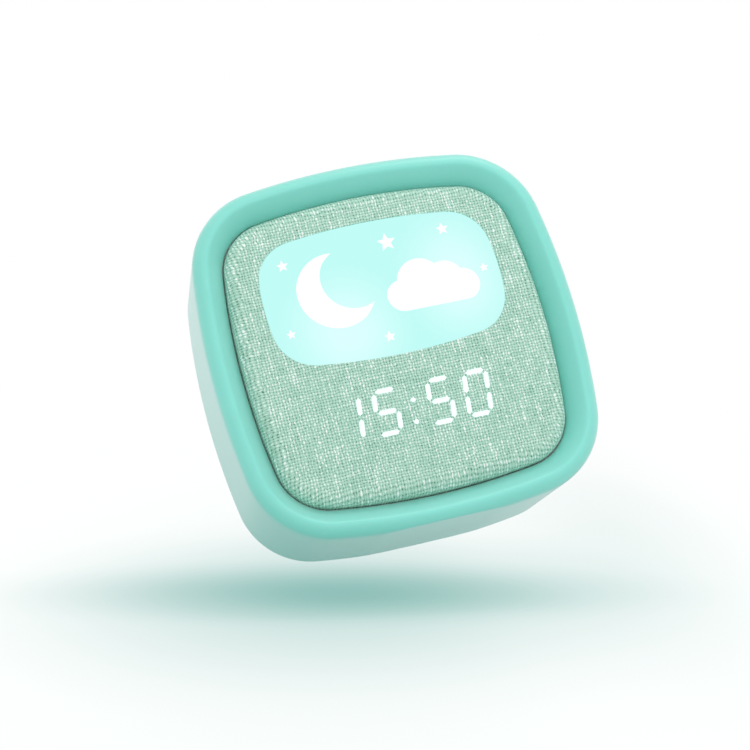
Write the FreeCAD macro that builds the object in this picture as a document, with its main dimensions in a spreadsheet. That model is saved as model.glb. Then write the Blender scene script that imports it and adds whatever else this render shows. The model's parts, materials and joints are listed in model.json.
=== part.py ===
"""Kids alarm clock with night light: a soft rounded-square bedside clock with a cloth front.

Every sub-part is drawn on the bench: X to the right as seen from the front, Y up the face and
Z towards the front, with the back plane at z = 0. One placement then stands the clock on the flat
under its tapered bottom wall, with the front towards -Y, so that it leans back by the taper.
"""
import FreeCAD, Part
import math
import os
import re
import Sketcher

Vector = FreeCAD.Vector

# Driving dimensions, in millimetres and degrees
SIZES = {
    "case_half": (60, "half the width and height at the widest line"),
    "case_depth": (52, "back plane to the crest of the front rim"),
    "side_radius": (236, "bow of the four sides"),
    "corner_radius": (27, "outer corners seen from the front"),
    "wall_taper": (4.06, "degrees that the walls lean in towards the back"),
    "front_round": (3.9, "round between the side wall and the rim crest"),
    "front_fillet": (3.783, "fillet of that round"),
    "back_round": (8, "round at the back of the soft skin"),
    "rim_width": (9.8, "outer wall to the groove round the cloth"),
    "rim_rise": (6.3, "rim crest above the bottom of its inner slope"),
    "rim_lip": (3.2, "straight lip under the slope, down to the housing"),
    "foot_flat": (0.8, "depth of the flat that the clock stands on"),
    "back_bevel": (45, "degrees of the bevels inside the back round"),
    "skin_wall": (2, "soft skin"),
    "skin_gap": (0.15, "soft skin to the housing"),
    "shell_wall": (2, "housing wall"),
    "flange_width": (13, "housing flange, inwards from its wall"),
    "flange_thick": (2, "housing flange"),
    "hatch_inset": (23, "outer wall to the opening in the back wall"),
    "hatch_gap": (0.15, "rear cover to the housing and to the skin"),
    "cover_inset": (14, "outer wall to the edge of the rear cover"),
    "cover_recess": (0.4, "rear cover behind the back plane"),
    "spigot_wall": (1.5, "ring that locates the rear cover"),
    "spigot_rise": (2.5, "height of that ring"),
    "post_inset": (24, "corner screws from the widest lines of the walls"),
    "post_radius": (3.3, "corner screw posts"),
    "post_height": (14, "corner screw posts, from the back wall"),
    "screw_radius": (1.25, "screw shanks"),
    "pilot_gap": (0.05, "screw shank to its pilot hole"),
    "head_radius": (2.4, "screw heads"),
    "head_height": (1.2, "screw heads"),
    "screw_length": (9, "shank under the head"),
    "head_sink": (0.9, "counterbores under the heads in the rear cover"),
    "head_gap": (0.2, "screw head to its counterbore"),
    "drive_radius": (1.1, "drive recess in a screw head"),
    "drive_depth": (0.8, "drive recess in a screw head"),
    "cloth_gap": (0.5, "groove between the rim and the cloth"),
    "cloth_thick": (0.9, "cloth with its foam backing"),
    "cloth_seat": (0.1, "cloth to the baffle under it"),
    "cloth_hem": (0.5, "cloth edge above the housing flange"),
    "dome_radius": (833, "crown of the cloth front"),
    "dome_edge": (4, "roll-off at the edge of the cloth"),
    "dome_blank": (1.56, "blank above the rim crest before the crown is turned"),
    "dome_reach": (78, "how far out the crown is turned"),
    "dome_lift": (10.4, "how far above the crown it is turned away"),
    "baffle_wall": (1.6, "stiff baffle under the cloth"),
    "baffle_screw_inset": (21.4, "baffle screws from the widest lines of the walls"),
    "baffle_screw_length": (6, "baffle screws under the head"),
    "baffle_boss_radius": (3.1, "baffle bosses"),
    "baffle_boss_height": (5.4, "baffle bosses, from the housing flange"),
    "baffle_floor": (2, "boss floor under a baffle screw"),
    "window_side_inset": (21.2, "widest line of the walls to the sides of the night-light window"),
    "window_top_inset": (20, "widest line of the top wall to the window's top"),
    "window_bottom": (-5.2, "window's bottom from the face centre"),
    "window_mid_drop": (23, "window's top down to its widest line"),
    "window_top_radius": (220, "bow of the window's top"),
    "window_bottom_radius": (180, "bow of the window's bottom"),
    "window_side_radius": (70, "bow of the window's sides"),
    "window_corner": (13.5, "window corners"),
    "window_gap": (0.15, "lens to the cloth and to the baffle"),
    "lens_thick": (3, "lens at its centre"),
    "lens_wall": (2.2, "skirt of the lens"),
    "lens_flange": (1.5, "lens flange, outwards"),
    "lens_flange_thick": (1.4, "lens flange"),
    "lens_flange_z": (4.6, "front of the lens flange under the rim crest"),
    "figure_depth": (1.6, "opal figures let into the lens"),
    "figure_gap": (0.1, "opal figure to its pocket"),
    "moon_side": (11.3, "moon to the left side of the window"),
    "moon_over": (8, "moon to the window's top"),
    "moon_under": (12.2, "moon to the window's bottom"),
    "moon_bite": (2.1, "moon's outer radius less its inner radius"),
    "moon_bite_x": (6.2, "inner edge off the moon's centre, across"),
    "moon_bite_y": (3.2, "inner edge off the moon's centre, up"),
    "cloud_side": (7.7, "cloud to the right side of the window"),
    "cloud_under": (13.4, "cloud's flat underside to the window's bottom"),
    "cloud_space": (2.92, "cloud to the moon, across"),
    "star_radius": (3.1, "largest star"),
    "star_waist": (0.44, "inner points of a star, as a share of its radius"),
    "box_wall": (1.4, "light box wall"),
    "box_margin": (0.8, "light box inside, beyond the window"),
    "box_depth": (17.5, "light box, front to back"),
    "light_board_thick": (1.6, "night-light board"),
    "light_chip": (3.5, "night-light LED, square"),
    "light_chip_height": (1.1, "night-light LED"),
    "light_chip_x": (17, "night-light LED columns from the centre"),
    "light_chip_rise": (9, "night-light LED rows from the window's middle"),
    "display_y": (-21.6, "middle of the display"),
    "display_width": (54.6, "display block"),
    "display_height": (19, "display block"),
    "display_depth": (7, "display block"),
    "display_gap": (0.2, "display block to the baffle"),
    "display_sink": (2.2, "display face under the rim crest"),
    "digit_height": (14.2, "figures"),
    "digit_width": (8.2, "figures"),
    "digit_slant": (9.5, "degrees that the figures lean"),
    "digit_pitch": (12.3, "between the figures of a pair"),
    "pair_offset": (15.1, "middle of a pair of figures from the colon"),
    "segment_width": (1.7, "bars of the figures"),
    "segment_deep": (1.4, "bars of the figures"),
    "segment_gap": (0.35, "between the bars"),
    "colon_spread": (3.9, "colon dots from the middle"),
    "display_board_thick": (1.6, "display board"),
    "display_board_margin": (1.5, "display board beyond the block"),
    "board_back": (12, "rear of the main board from the back plane"),
    "board_thick": (1.6, "main board"),
    "board_post_gap": (0.7, "main board to the corner screw posts"),
    "board_top": (-3, "upper edge of the main board"),
    "board_bottom": (-33.4, "lower edge of the main board"),
    "board_screw_inset": (3.6, "board screws from the board's edges"),
    "board_post_radius": (2.8, "rear cover posts under the board"),
    "board_screw_length": (6, "board screws under the head"),
    "button_y": (-13.5, "row of rear buttons"),
    "button_side": (8, "outermost rear button to the side of the main board"),
    "button_share": (0.3, "radius of a rear button cap, as a share of the pitch"),
    "button_round": (0.32, "edge of a rear button cap"),
    "button_flange": (1.1, "rear button flange, outwards"),
    "button_flange_thick": (1, "rear button flange"),
    "button_gap": (0.3, "moving button to what it runs in"),
    "button_travel": (0.6, "press of a rear button"),
    "switch_size": (6, "tact switch, square"),
    "switch_height": (3.5, "tact switch"),
    "plunger_radius": (1.6, "tact switch plungers"),
    "plunger_proud": (0.4, "plunger above its switch"),
    "plunger_deep": (1.5, "plunger inside its switch"),
    "port_y": (-28, "row of the socket and the slide switch"),
    "socket_x": (13, "charging socket, across"),
    "socket_width": (9, "charging socket"),
    "socket_height": (3.4, "charging socket"),
    "socket_depth": (7, "charging socket"),
    "socket_wall": (0.35, "charging socket shell"),
    "socket_tongue": (0.8, "contact tongue of the socket"),
    "tongue_width": (6.66, "contact tongue of the socket"),
    "recess_width": (13, "plug recess in the rear cover"),
    "recess_height": (7.4, "plug recess in the rear cover"),
    "slider_x": (-13, "slide switch, across"),
    "slider_width": (3, "slide switch knob, across"),
    "slider_height": (3.2, "slide switch knob, up"),
    "slider_travel": (3, "slide switch knob"),
    "slide_body_width": (11, "slide switch body"),
    "slide_body_height": (6.4, "slide switch body"),
    "slide_body_depth": (4.4, "slide switch body"),
    "slide_body_bore": (1.6, "channel for the knob in the body"),
    "chip_size": (9, "clock chip, square"),
    "chip_height": (1.4, "clock chip"),
    "plug_width": (8, "lead sockets on the main board"),
    "plug_height": (5.2, "lead sockets on the main board"),
    "plug_depth": (5.6, "lead sockets on the main board"),
    "plug_share": (0.28, "lead sockets from the centre, as a share of the board's width"),
    "speaker_margin": (4, "speaker rim to the opening in the back wall"),
    "speaker_radius": (17.5, "speaker rim"),
    "speaker_rim": (2.6, "width of the speaker rim"),
    "speaker_deep": (7.5, "speaker basket"),
    "speaker_sheet": (0.8, "speaker basket wall"),
    "gasket_thick": (1, "foam ring under the speaker"),
    "magnet_radius": (9.5, "speaker magnet"),
    "magnet_thick": (5, "speaker magnet"),
    "cone_thick": (0.5, "paper cone"),
    "cone_gap": (0.3, "paper cone to the basket"),
    "cone_deep": (4.125, "paper cone"),
    "cap_radius": (3.8, "flat middle of the paper cone"),
    "grille_hole": (0.95, "holes over the speaker"),
    "grille_pitch": (3.7, "rings of holes over the speaker"),
    "grille_rings": (4, "rings of holes over the speaker"),
    "battery_radius": (9.1, "rechargeable cell"),
    "battery_length": (65, "rechargeable cell"),
    "battery_z": (27.6, "middle of the cell from the back plane"),
    "holder_gap": (0.15, "battery holder to the housing wall"),
    "battery_gap": (0.3, "cell to its holder"),
    "holder_wall": (1.4, "battery holder"),
    "holder_lip": (3, "battery holder above the cell's middle"),
    "contact_thick": (0.5, "battery contacts"),
    "contact_half": (4, "battery contacts, half their width"),
    "snooze_z": (18, "top button from the back plane"),
    "snooze_length": (34, "top button"),
    "snooze_width": (11, "top button"),
    "snooze_proud": (0.9, "top button above the skin"),
    "snooze_round": (0.72, "edge of the top button"),
    "snooze_way_depth": (12, "way of the top button, down from the widest line"),
    "snooze_flange": (1.5, "top button flange, outwards"),
    "snooze_flange_thick": (1.2, "top button flange"),
    "snooze_drop": (1.2, "top button flange under the housing wall"),
    "snooze_travel": (0.8, "press of the top button"),
    "snooze_gap": (0.35, "top button to what it runs in"),
    "snooze_board_inset": (19.4, "widest line of the top wall to the top switch board"),
    "snooze_board_width": (52, "top switch board, across"),
    "snooze_board_depth": (11, "top switch board, front to back"),
    "snooze_board_thick": (1.2, "top switch board"),
    "snooze_post_x": (22.5, "top switch board posts from the centre"),
    "snooze_post_radius": (2.3, "top switch board posts"),
    "snooze_screw_length": (5, "top switch board screws under the head"),
    "overshoot": (6, "how far a cutting shape runs past the solid"),
}

doc = FreeCAD.newDocument("kids_alarm_clock")
sheet = doc.addObject("Spreadsheet::Sheet", "sizes")
for row, (alias, (number, meaning)) in enumerate(SIZES.items(), start=1):
    sheet.set(f"A{row}", meaning)
    sheet.set(f"B{row}", str(number))
    sheet.setAlias(f"B{row}", alias)
doc.recompute()

ALIAS = re.compile(r"\b(" + "|".join(SIZES) + r")\b")
FULL_TURN = 360
TOLERANCE = 1e-3
PARTS = []


def value(expression):
    """The number that an expression of the sheet's aliases stands for."""
    result = sheet.evalExpression(str(expression))
    return float(getattr(result, "Value", result))


def bind(thing, path, expression):
    """Tie a property to the sheet."""
    thing.setExpression(path, ALIAS.sub(r"sizes.\1", str(expression)))


# Places along the depth that several sub-parts share
WIDEST = "(case_depth - front_round)"
SEAT = "(case_depth - rim_rise - rim_lip)"
LEAN = "tan(wall_taper * 1deg)"
HOUSING_INSET = "(skin_wall + skin_gap)"
ROOM_INSET = "(skin_wall + skin_gap + shell_wall)"
BACK_WALL_TOP = "(skin_wall + shell_wall)"
CLOTH_INSET = "(rim_width + cloth_gap)"
BAFFLE_INSET = "(rim_width + cloth_gap + cloth_thick + cloth_seat)"
BAFFLE_TOP = "(case_depth - cloth_thick - cloth_seat)"
LENS_FLANGE_FRONT = "(case_depth - lens_flange_z)"
LENS_BACK = f"({LENS_FLANGE_FRONT} - lens_flange_thick)"
BOX_BACK = f"({LENS_BACK} - box_depth)"
BOARD_FRONT = "(board_back + board_thick)"
BOARD_MIDDLE = "((board_top + board_bottom) / 2)"
BOARD_HALF = "((board_top - board_bottom) / 2 - board_screw_inset)"
POST_AT = "(case_half - post_inset)"
BAFFLE_SCREW_AT = "(case_half - baffle_screw_inset)"
BOARD_WIDTH = f"(2 * ({POST_AT} - post_radius - board_post_gap))"
BOARD_POST_X = f"({BOARD_WIDTH} / 2 - board_screw_inset)"
BUTTON_PITCH = f"(({BOARD_WIDTH} / 2 - button_side) / 2)"
BUTTON_RADIUS = f"(button_share * {BUTTON_PITCH})"
SPEAKER_Y = "(case_half - hatch_inset - speaker_radius - speaker_margin)"
WINDOW_HALF = "(case_half - window_side_inset)"
WINDOW_TOP = "(case_half - window_top_inset)"
WINDOW_MID = f"({WINDOW_TOP} - window_mid_drop)"
WINDOW_HEIGHT = f"({WINDOW_TOP} - window_bottom)"
SWITCH_BACK = "(board_back - switch_height)"
DISPLAY_FACE = "(case_depth - display_sink)"
DISPLAY_BACK = f"({DISPLAY_FACE} - display_depth)"
SNOOZE_POSTS = ("snooze_post_x", "-snooze_post_x")


def inset_at(inset, z):
    """How far inside the widest outline a tapered wall lies at a height above the back plane."""
    return f"({inset} + ({WIDEST} - {z}) * {LEAN})"


SNOOZE_ROOM = f"(case_half - {inset_at(ROOM_INSET, 'snooze_z')})"
SNOOZE_BOARD_Y = "(case_half - snooze_board_inset)"


# Documents, bodies and sketches

def new_body(label):
    body = doc.addObject("PartDesign::Body", label)
    body.Label = label
    body.AllowCompound = True
    PARTS.append(body)
    return body


def plane(body, role):
    return [feature for feature in body.Origin.OriginFeatures if feature.Role == role][0]


def new_sketch(body, z, role="XY_Plane", x="0", y="0"):
    """A sketch on one of the body's own planes, moved along it and off it."""
    sketch = body.newObject("Sketcher::SketchObject", body.Label + "_sketch")
    sketch.AttachmentSupport = [(plane(body, role), "")]
    sketch.MapMode = "FlatFace"
    bind(sketch, "AttachmentOffset.Base.x", x)
    bind(sketch, "AttachmentOffset.Base.y", y)
    bind(sketch, "AttachmentOffset.Base.z", z)
    return sketch


def dimensions(sketch, wanted):
    """Dimensions of the sketch, tied to the sheet: (kind, geometry..., expression) each."""
    first = sketch.ConstraintCount
    sketch.addConstraint([Sketcher.Constraint(kind, *where, value(expression))
                          for kind, *where, expression in wanted])
    for number, (*_, expression) in enumerate(wanted, start=first):
        bind(sketch, f"Constraints[{number}]", expression)


def dimension(sketch, *wanted):
    dimensions(sketch, [wanted])


def place_of(shape, end, x, y):
    """The two dimensions that hold a point from the sketch's origin."""
    return [("DistanceX", -1, 1, shape, end, x), ("DistanceY", -1, 1, shape, end, y)]


def pin_point(sketch, shape, end, x, y):
    dimensions(sketch, place_of(shape, end, x, y))


def circle(sketch, x, y, radius):
    centre = Vector(value(x), value(y), 0)
    shape = sketch.addGeometry(Part.Circle(centre, Vector(0, 0, 1), value(radius)))
    dimensions(sketch, place_of(shape, 3, x, y) + [("Radius", shape, radius)])


def polygon(sketch, points):
    """A closed outline of straight lines through points, each an (x, y) pair of expressions."""
    spots = [Vector(value(x), value(y), 0) for x, y in points]
    lines = [sketch.addGeometry(Part.LineSegment(spots[i - 1], spots[i])) for i in range(len(spots))]
    sketch.addConstraint([Sketcher.Constraint("Coincident", line, 2, following, 1)
                          for line, following in zip(lines, lines[1:] + lines[:1])])
    dimensions(sketch, [size for line, spot in zip(lines, points) for size in place_of(line, 2, *spot)])


def rectangle(sketch, x, y, width, height):
    """A rectangle about its middle."""
    left, right = f"({x} - {width} / 2)", f"({x} + {width} / 2)"
    low, high = f"({y} - {height} / 2)", f"({y} + {height} / 2)"
    polygon(sketch, [(left, low), (right, low), (right, high), (left, high)])


def arc(sketch, x, y, radius, start, end):
    shape = Part.ArcOfCircle(Part.Circle(Vector(x, y, 0), Vector(0, 0, 1), radius), start, end)
    return sketch.addGeometry(shape)


def slot(sketch, x, y, length, width):
    """A round-ended slot along the sketch's x direction, about its middle."""
    reach, radius = f"({length} - {width}) / 2", f"({width} / 2)"
    across, up, half, round_end = value(x), value(y), value(reach), value(radius)
    right = arc(sketch, across + half, up, round_end, -math.pi / 2, math.pi / 2)
    left = arc(sketch, across - half, up, round_end, math.pi / 2, 3 * math.pi / 2)
    top = sketch.addGeometry(Part.LineSegment(Vector(across + half, up + round_end, 0),
                                              Vector(across - half, up + round_end, 0)))
    low = sketch.addGeometry(Part.LineSegment(Vector(across - half, up - round_end, 0),
                                              Vector(across + half, up - round_end, 0)))
    for first, second in ((right, top), (top, left), (left, low), (low, right)):
        sketch.addConstraint(Sketcher.Constraint("Tangent", first, 2, second, 1))
    pin_point(sketch, right, 3, f"({x} + {reach})", y)
    dimension(sketch, "DistanceX", left, 3, right, 3, f"(2 * {reach})")
    dimension(sketch, "Radius", right, radius)


def bowed_frame(sketch, sides, radii, corner, middle, inset):
    """A closed outline of four bowed sides and four round corners, drawn inset by a distance.

    sides holds the half width, the top and the bottom, and radii the bows of the sides, top and
    bottom. middle is the height of the widest line.
    """
    half, top, bottom = sides
    side_bow, top_bow, bottom_bow = (f"({radius} - {inset})" for radius in radii)
    round_corner = f"({corner} - {inset})"
    centres = {
        "right": (f"({half} - {radii[0]})", middle, side_bow),
        "top": ("0", f"({top} - {radii[1]})", top_bow),
        "left": (f"({radii[0]} - {half})", middle, side_bow),
        "bottom": ("0", f"({bottom} + {radii[2]})", bottom_bow),
    }
    names = list(centres)
    spots = {name: (value(x), value(y), value(r)) for name, (x, y, r) in centres.items()}
    corner_size = value(round_corner)
    corners = []
    for first, second in zip(names, names[1:] + names[:1]):
        corners.append(between(spots[first], spots[second], corner_size, {first, second}))
    ring = []
    for i, name in enumerate(names):
        x, y, radius = spots[name]
        start = math.atan2(corners[i - 1][1] - y, corners[i - 1][0] - x)
        end = math.atan2(corners[i][1] - y, corners[i][0] - x)
        end += 2 * math.pi if end < start else 0
        side = arc(sketch, x, y, radius, start, end)
        following = spots[names[(i + 1) % 4]]
        turn_end = math.atan2(corners[i][1] - following[1], corners[i][0] - following[0])
        turn_end += 2 * math.pi if turn_end < end else 0
        ring += [side, arc(sketch, *corners[i], corner_size, end, turn_end)]
        pin_point(sketch, side, 3, *centres[name][:2])
        dimension(sketch, "Radius", side, centres[name][2])
        dimension(sketch, "Radius", ring[-1], round_corner)
    for i, shape in enumerate(ring):
        sketch.addConstraint(Sketcher.Constraint("Tangent", shape, 2, ring[(i + 1) % len(ring)], 1))


def between(first, second, corner_size, names):
    """The centre of a corner that is tangent inside two bowed sides."""
    x1, y1, reach1 = first[0], first[1], first[2] - corner_size
    x2, y2, reach2 = second[0], second[1], second[2] - corner_size
    apart = math.hypot(x2 - x1, y2 - y1)
    along = (reach1 ** 2 - reach2 ** 2 + apart ** 2) / (2 * apart)
    aside = math.sqrt(reach1 ** 2 - along ** 2)
    ux, uy = (x2 - x1) / apart, (y2 - y1) / apart
    spots = [(x1 + along * ux - side * aside * uy, y1 + along * uy + side * aside * ux)
             for side in (-1, 1)]
    wanted_x = 1 if "right" in names else -1
    wanted_y = 1 if "top" in names else -1
    return max(spots, key=lambda spot: wanted_x * spot[0] + wanted_y * spot[1])


def case_outline(sketch, inset):
    """The clock's rounded square, inset from its widest line."""
    bow = "side_radius"
    bowed_frame(sketch, ("case_half", "case_half", "-case_half"), (bow, bow, bow),
                "corner_radius", "0", inset)


def window_outline(sketch, inset):
    """The night-light window, inset from the edge of the cloth round it."""
    bowed_frame(sketch, (WINDOW_HALF, WINDOW_TOP, "window_bottom"),
                ("window_side_radius", "window_top_radius", "window_bottom_radius"),
                "window_corner", WINDOW_MID, inset)


# Features

def pad(body, sketch, length, taper=None, backwards=False):
    feature = body.newObject("PartDesign::Pad", body.Label + "_pad")
    feature.Profile = sketch
    bind(feature, "Length", length)
    feature.Reversed = backwards
    if taper:
        bind(feature, "TaperAngle", taper)
    return feature


def bar(body, sketch, length):
    """A pad that reaches both ways from its sketch."""
    feature = pad(body, sketch, length)
    feature.Midplane = True
    return feature


def cut(body, sketch, length, taper=None, forwards=True):
    """A pocket from its sketch along the plane's normal, or against it."""
    doc.recompute()
    before = body.Shape.Volume
    feature = body.newObject("PartDesign::Pocket", body.Label + "_cut")
    feature.Profile = sketch
    bind(feature, "Length", length)
    feature.Reversed = forwards
    if taper:
        bind(feature, "TaperAngle", taper)
    doc.recompute()
    if body.Shape.Volume >= before:
        raise RuntimeError(body.Label + ": a cut removes nothing")
    return feature


def turned(body, points, x="0", y="0", kind="PartDesign::Revolution"):
    """A turned form about a line along Z at x, y, from (radius, z) points."""
    sketch = new_sketch(body, f"-({y})", "XZ_Plane", x)
    polygon(sketch, points)
    feature = body.newObject(kind, body.Label + "_turned")
    feature.Profile = sketch
    feature.ReferenceAxis = (sketch, ["V_Axis"])
    feature.Angle = FULL_TURN
    return feature


def crown(body, top, radius):
    """Turn away what stands above a shallow dome about the middle of the face."""
    sketch = new_sketch(body, "0", "XZ_Plane")
    reach = "dome_reach"
    centre, high = f"({top} - {radius})", f"({top} + dome_lift)"
    edge_z = f"({centre} + sqrt(({radius})^2 - {reach}^2))"
    bow = arc(sketch, 0, value(centre), value(radius),
              math.acos(value(reach) / value(radius)), math.pi / 2)
    corners = [("0", top), ("0", high), (reach, high), (reach, edge_z)]
    spots = [Vector(value(x), value(y), 0) for x, y in corners]
    lines = [sketch.addGeometry(Part.LineSegment(a, b)) for a, b in zip(spots, spots[1:])]
    ring = [bow] + lines
    for i, shape in enumerate(ring):
        sketch.addConstraint(Sketcher.Constraint("Coincident", shape, 2, ring[(i + 1) % 4], 1))
    pin_point(sketch, bow, 3, "0", centre)
    dimension(sketch, "Radius", bow, radius)
    pin_point(sketch, lines[0], 2, "0", high)
    pin_point(sketch, lines[1], 2, reach, high)
    sketch.addConstraint(Sketcher.Constraint("Vertical", lines[0]))
    sketch.addConstraint(Sketcher.Constraint("Vertical", lines[2]))
    feature = body.newObject("PartDesign::Groove", body.Label + "_crown")
    feature.Profile = sketch
    feature.ReferenceAxis = (sketch, ["V_Axis"])
    feature.Angle = FULL_TURN
    doc.recompute()
    return feature


def edges_where(feature, wanted):
    doc.recompute()
    return [f"Edge{i}" for i, edge in enumerate(feature.Shape.Edges, start=1) if wanted(edge)]


def level_at(z):
    """Picks the edges that lie in one plane across the depth."""
    def wanted(edge):
        box = edge.BoundBox
        return abs(box.ZMin - z) < TOLERANCE and abs(box.ZMax - z) < TOLERANCE
    return wanted


def upright(edge):
    """Picks straight edges along Z."""
    box = edge.BoundBox
    return box.XLength < TOLERANCE and box.YLength < TOLERANCE


def rounded(body, feature, wanted, radius):
    edges = edges_where(feature, wanted)
    fillet = body.newObject("PartDesign::Fillet", body.Label + "_round")
    fillet.Base = (feature, edges)
    bind(fillet, "Radius", radius)
    doc.recompute()
    return fillet


def block(body, x, y, z, width, height, depth):
    """A block about x, y that rises from z."""
    sketch = new_sketch(body, z)
    rectangle(sketch, x, y, width, height)
    return pad(body, sketch, depth)


def disc(body, x, y, z, radius, depth):
    sketch = new_sketch(body, z)
    circle(sketch, x, y, radius)
    return pad(body, sketch, depth)


def bores(body, places, z, radius, depth):
    """Round holes that run from z towards the front."""
    sketch = new_sketch(body, z)
    for x, y in places:
        circle(sketch, x, y, radius)
    return cut(body, sketch, depth)


def four(x, y):
    """The four places at plus and minus x and y."""
    return [(f"({i} * {x})", f"({j} * {y})") for i in (-1, 1) for j in (-1, 1)]


# The soft outside

def soft_skin():
    body = new_body("silicone_skin")
    sketch = new_sketch(body, WIDEST)
    case_outline(sketch, "0")
    pad(body, sketch, WIDEST, "-wall_taper", backwards=True)
    sketch = new_sketch(body, WIDEST)
    case_outline(sketch, "0")
    block_out = pad(body, sketch, "front_round")
    back = rounded(body, block_out, level_at(0), "back_round")
    rounded(body, back, level_at(value("case_depth")), "front_fillet")
    slope = new_sketch(body, "case_depth")
    case_outline(slope, "front_round")
    cut(body, slope, "rim_rise", "-atan((rim_width - front_round) / rim_rise)", forwards=False)
    lip = new_sketch(body, SEAT)
    case_outline(lip, "rim_width")
    cut(body, lip, "rim_lip")
    room = new_sketch(body, SEAT)
    case_outline(room, inset_at("skin_wall", SEAT))
    cut(body, room, f"({SEAT} - back_round)", "-wall_taper", forwards=False)
    corner = new_sketch(body, "back_round")
    case_outline(corner, inset_at("skin_wall", "back_round"))
    cut(body, corner, "(back_round - skin_wall)", "-back_bevel", forwards=False)
    opening = new_sketch(body, "0")
    case_outline(opening, "cover_inset")
    cut(body, opening, "skin_wall")
    foot = new_sketch(body, "0", "YZ_Plane")
    low, back, front = "(-case_half - overshoot)", "(-overshoot)", "(case_depth + overshoot)"
    polygon(foot, [(low, back), (rest_line(back), back), (rest_line(front), front), (low, front)])
    foot_cut = cut(body, foot, "(2 * case_half)")
    foot_cut.Midplane = True
    snooze_way(body)


def rest_line(z):
    """Height on the face of the flat that the clock stands on."""
    return f"(-case_half + foot_flat + ({WIDEST} - {z}) * {LEAN})"


def snooze_way(body):
    """The way of the top button through a wall, cut downwards from the widest line."""
    way = new_sketch(body, "-case_half", "XZ_Plane")
    slot(way, "0", "snooze_z", "(snooze_length + 2 * snooze_gap)", "(snooze_width + 2 * snooze_gap)")
    cut(body, way, "snooze_way_depth")


# The stiff housing

def main_housing():
    body = new_body("main_housing")
    outside = new_sketch(body, SEAT)
    case_outline(outside, inset_at(HOUSING_INSET, SEAT))
    pad(body, outside, f"({SEAT} - back_round)", "-wall_taper", backwards=True)
    bevel = new_sketch(body, "back_round")
    case_outline(bevel, inset_at(HOUSING_INSET, "back_round"))
    pad(body, bevel, "(back_round - skin_wall)", "-back_bevel", backwards=True)
    room = new_sketch(body, SEAT)
    case_outline(room, inset_at(ROOM_INSET, SEAT))
    cut(body, room, f"({SEAT} - back_round)", "-wall_taper", forwards=False)
    corner = new_sketch(body, "back_round")
    case_outline(corner, inset_at(ROOM_INSET, "back_round"))
    cut(body, corner, f"(back_round - {BACK_WALL_TOP})", "-back_bevel", forwards=False)
    flange = new_sketch(body, f"({SEAT} - flange_thick)")
    case_outline(flange, inset_at(HOUSING_INSET, f"({SEAT} - flange_thick)"))
    case_outline(flange, f"({ROOM_INSET} + flange_width)")
    pad(body, flange, "flange_thick")
    posts = new_sketch(body, "skin_wall")
    for x, y in four(POST_AT, POST_AT):
        circle(posts, x, y, "post_radius")
    pad(body, posts, "post_height")
    hatch = new_sketch(body, "skin_wall")
    case_outline(hatch, "hatch_inset")
    cut(body, hatch, "shell_wall")
    bores(body, four(POST_AT, POST_AT), "skin_wall", "(screw_radius + pilot_gap)",
          "(screw_length + pilot_gap)")
    bosses = new_sketch(body, f"({SEAT} - baffle_screw_length)")
    for x, y in baffle_places():
        circle(bosses, x, y, "baffle_boss_radius")
    pad(body, bosses, "baffle_screw_length")
    bores(body, baffle_places(), f"({SEAT} - baffle_screw_length + baffle_floor)",
          "(screw_radius + pilot_gap)", "(baffle_screw_length - baffle_floor)")
    snooze_way(body)
    feet = new_sketch(body, f"-{SNOOZE_BOARD_Y}", "XZ_Plane")
    for x in SNOOZE_POSTS:
        circle(feet, x, "snooze_z", "snooze_post_radius")
    pad(body, feet, f"({SNOOZE_ROOM} - {SNOOZE_BOARD_Y})", backwards=True)
    holes = new_sketch(body, f"-{SNOOZE_BOARD_Y}", "XZ_Plane")
    for x in SNOOZE_POSTS:
        circle(holes, x, "snooze_z", "(screw_radius + pilot_gap)")
    cut(body, holes, "(snooze_screw_length + pilot_gap)", forwards=False)


def baffle_places():
    """Baffle screws, one in each corner."""
    return four(BAFFLE_SCREW_AT, BAFFLE_SCREW_AT)


def screw_ways(body, places, z, depth):
    bores(body, places, z, "(screw_radius + head_gap)", depth)


# Grille holes in the innermost ring, and as many more in each ring outwards
HOLES_IN_RING = 6


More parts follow.
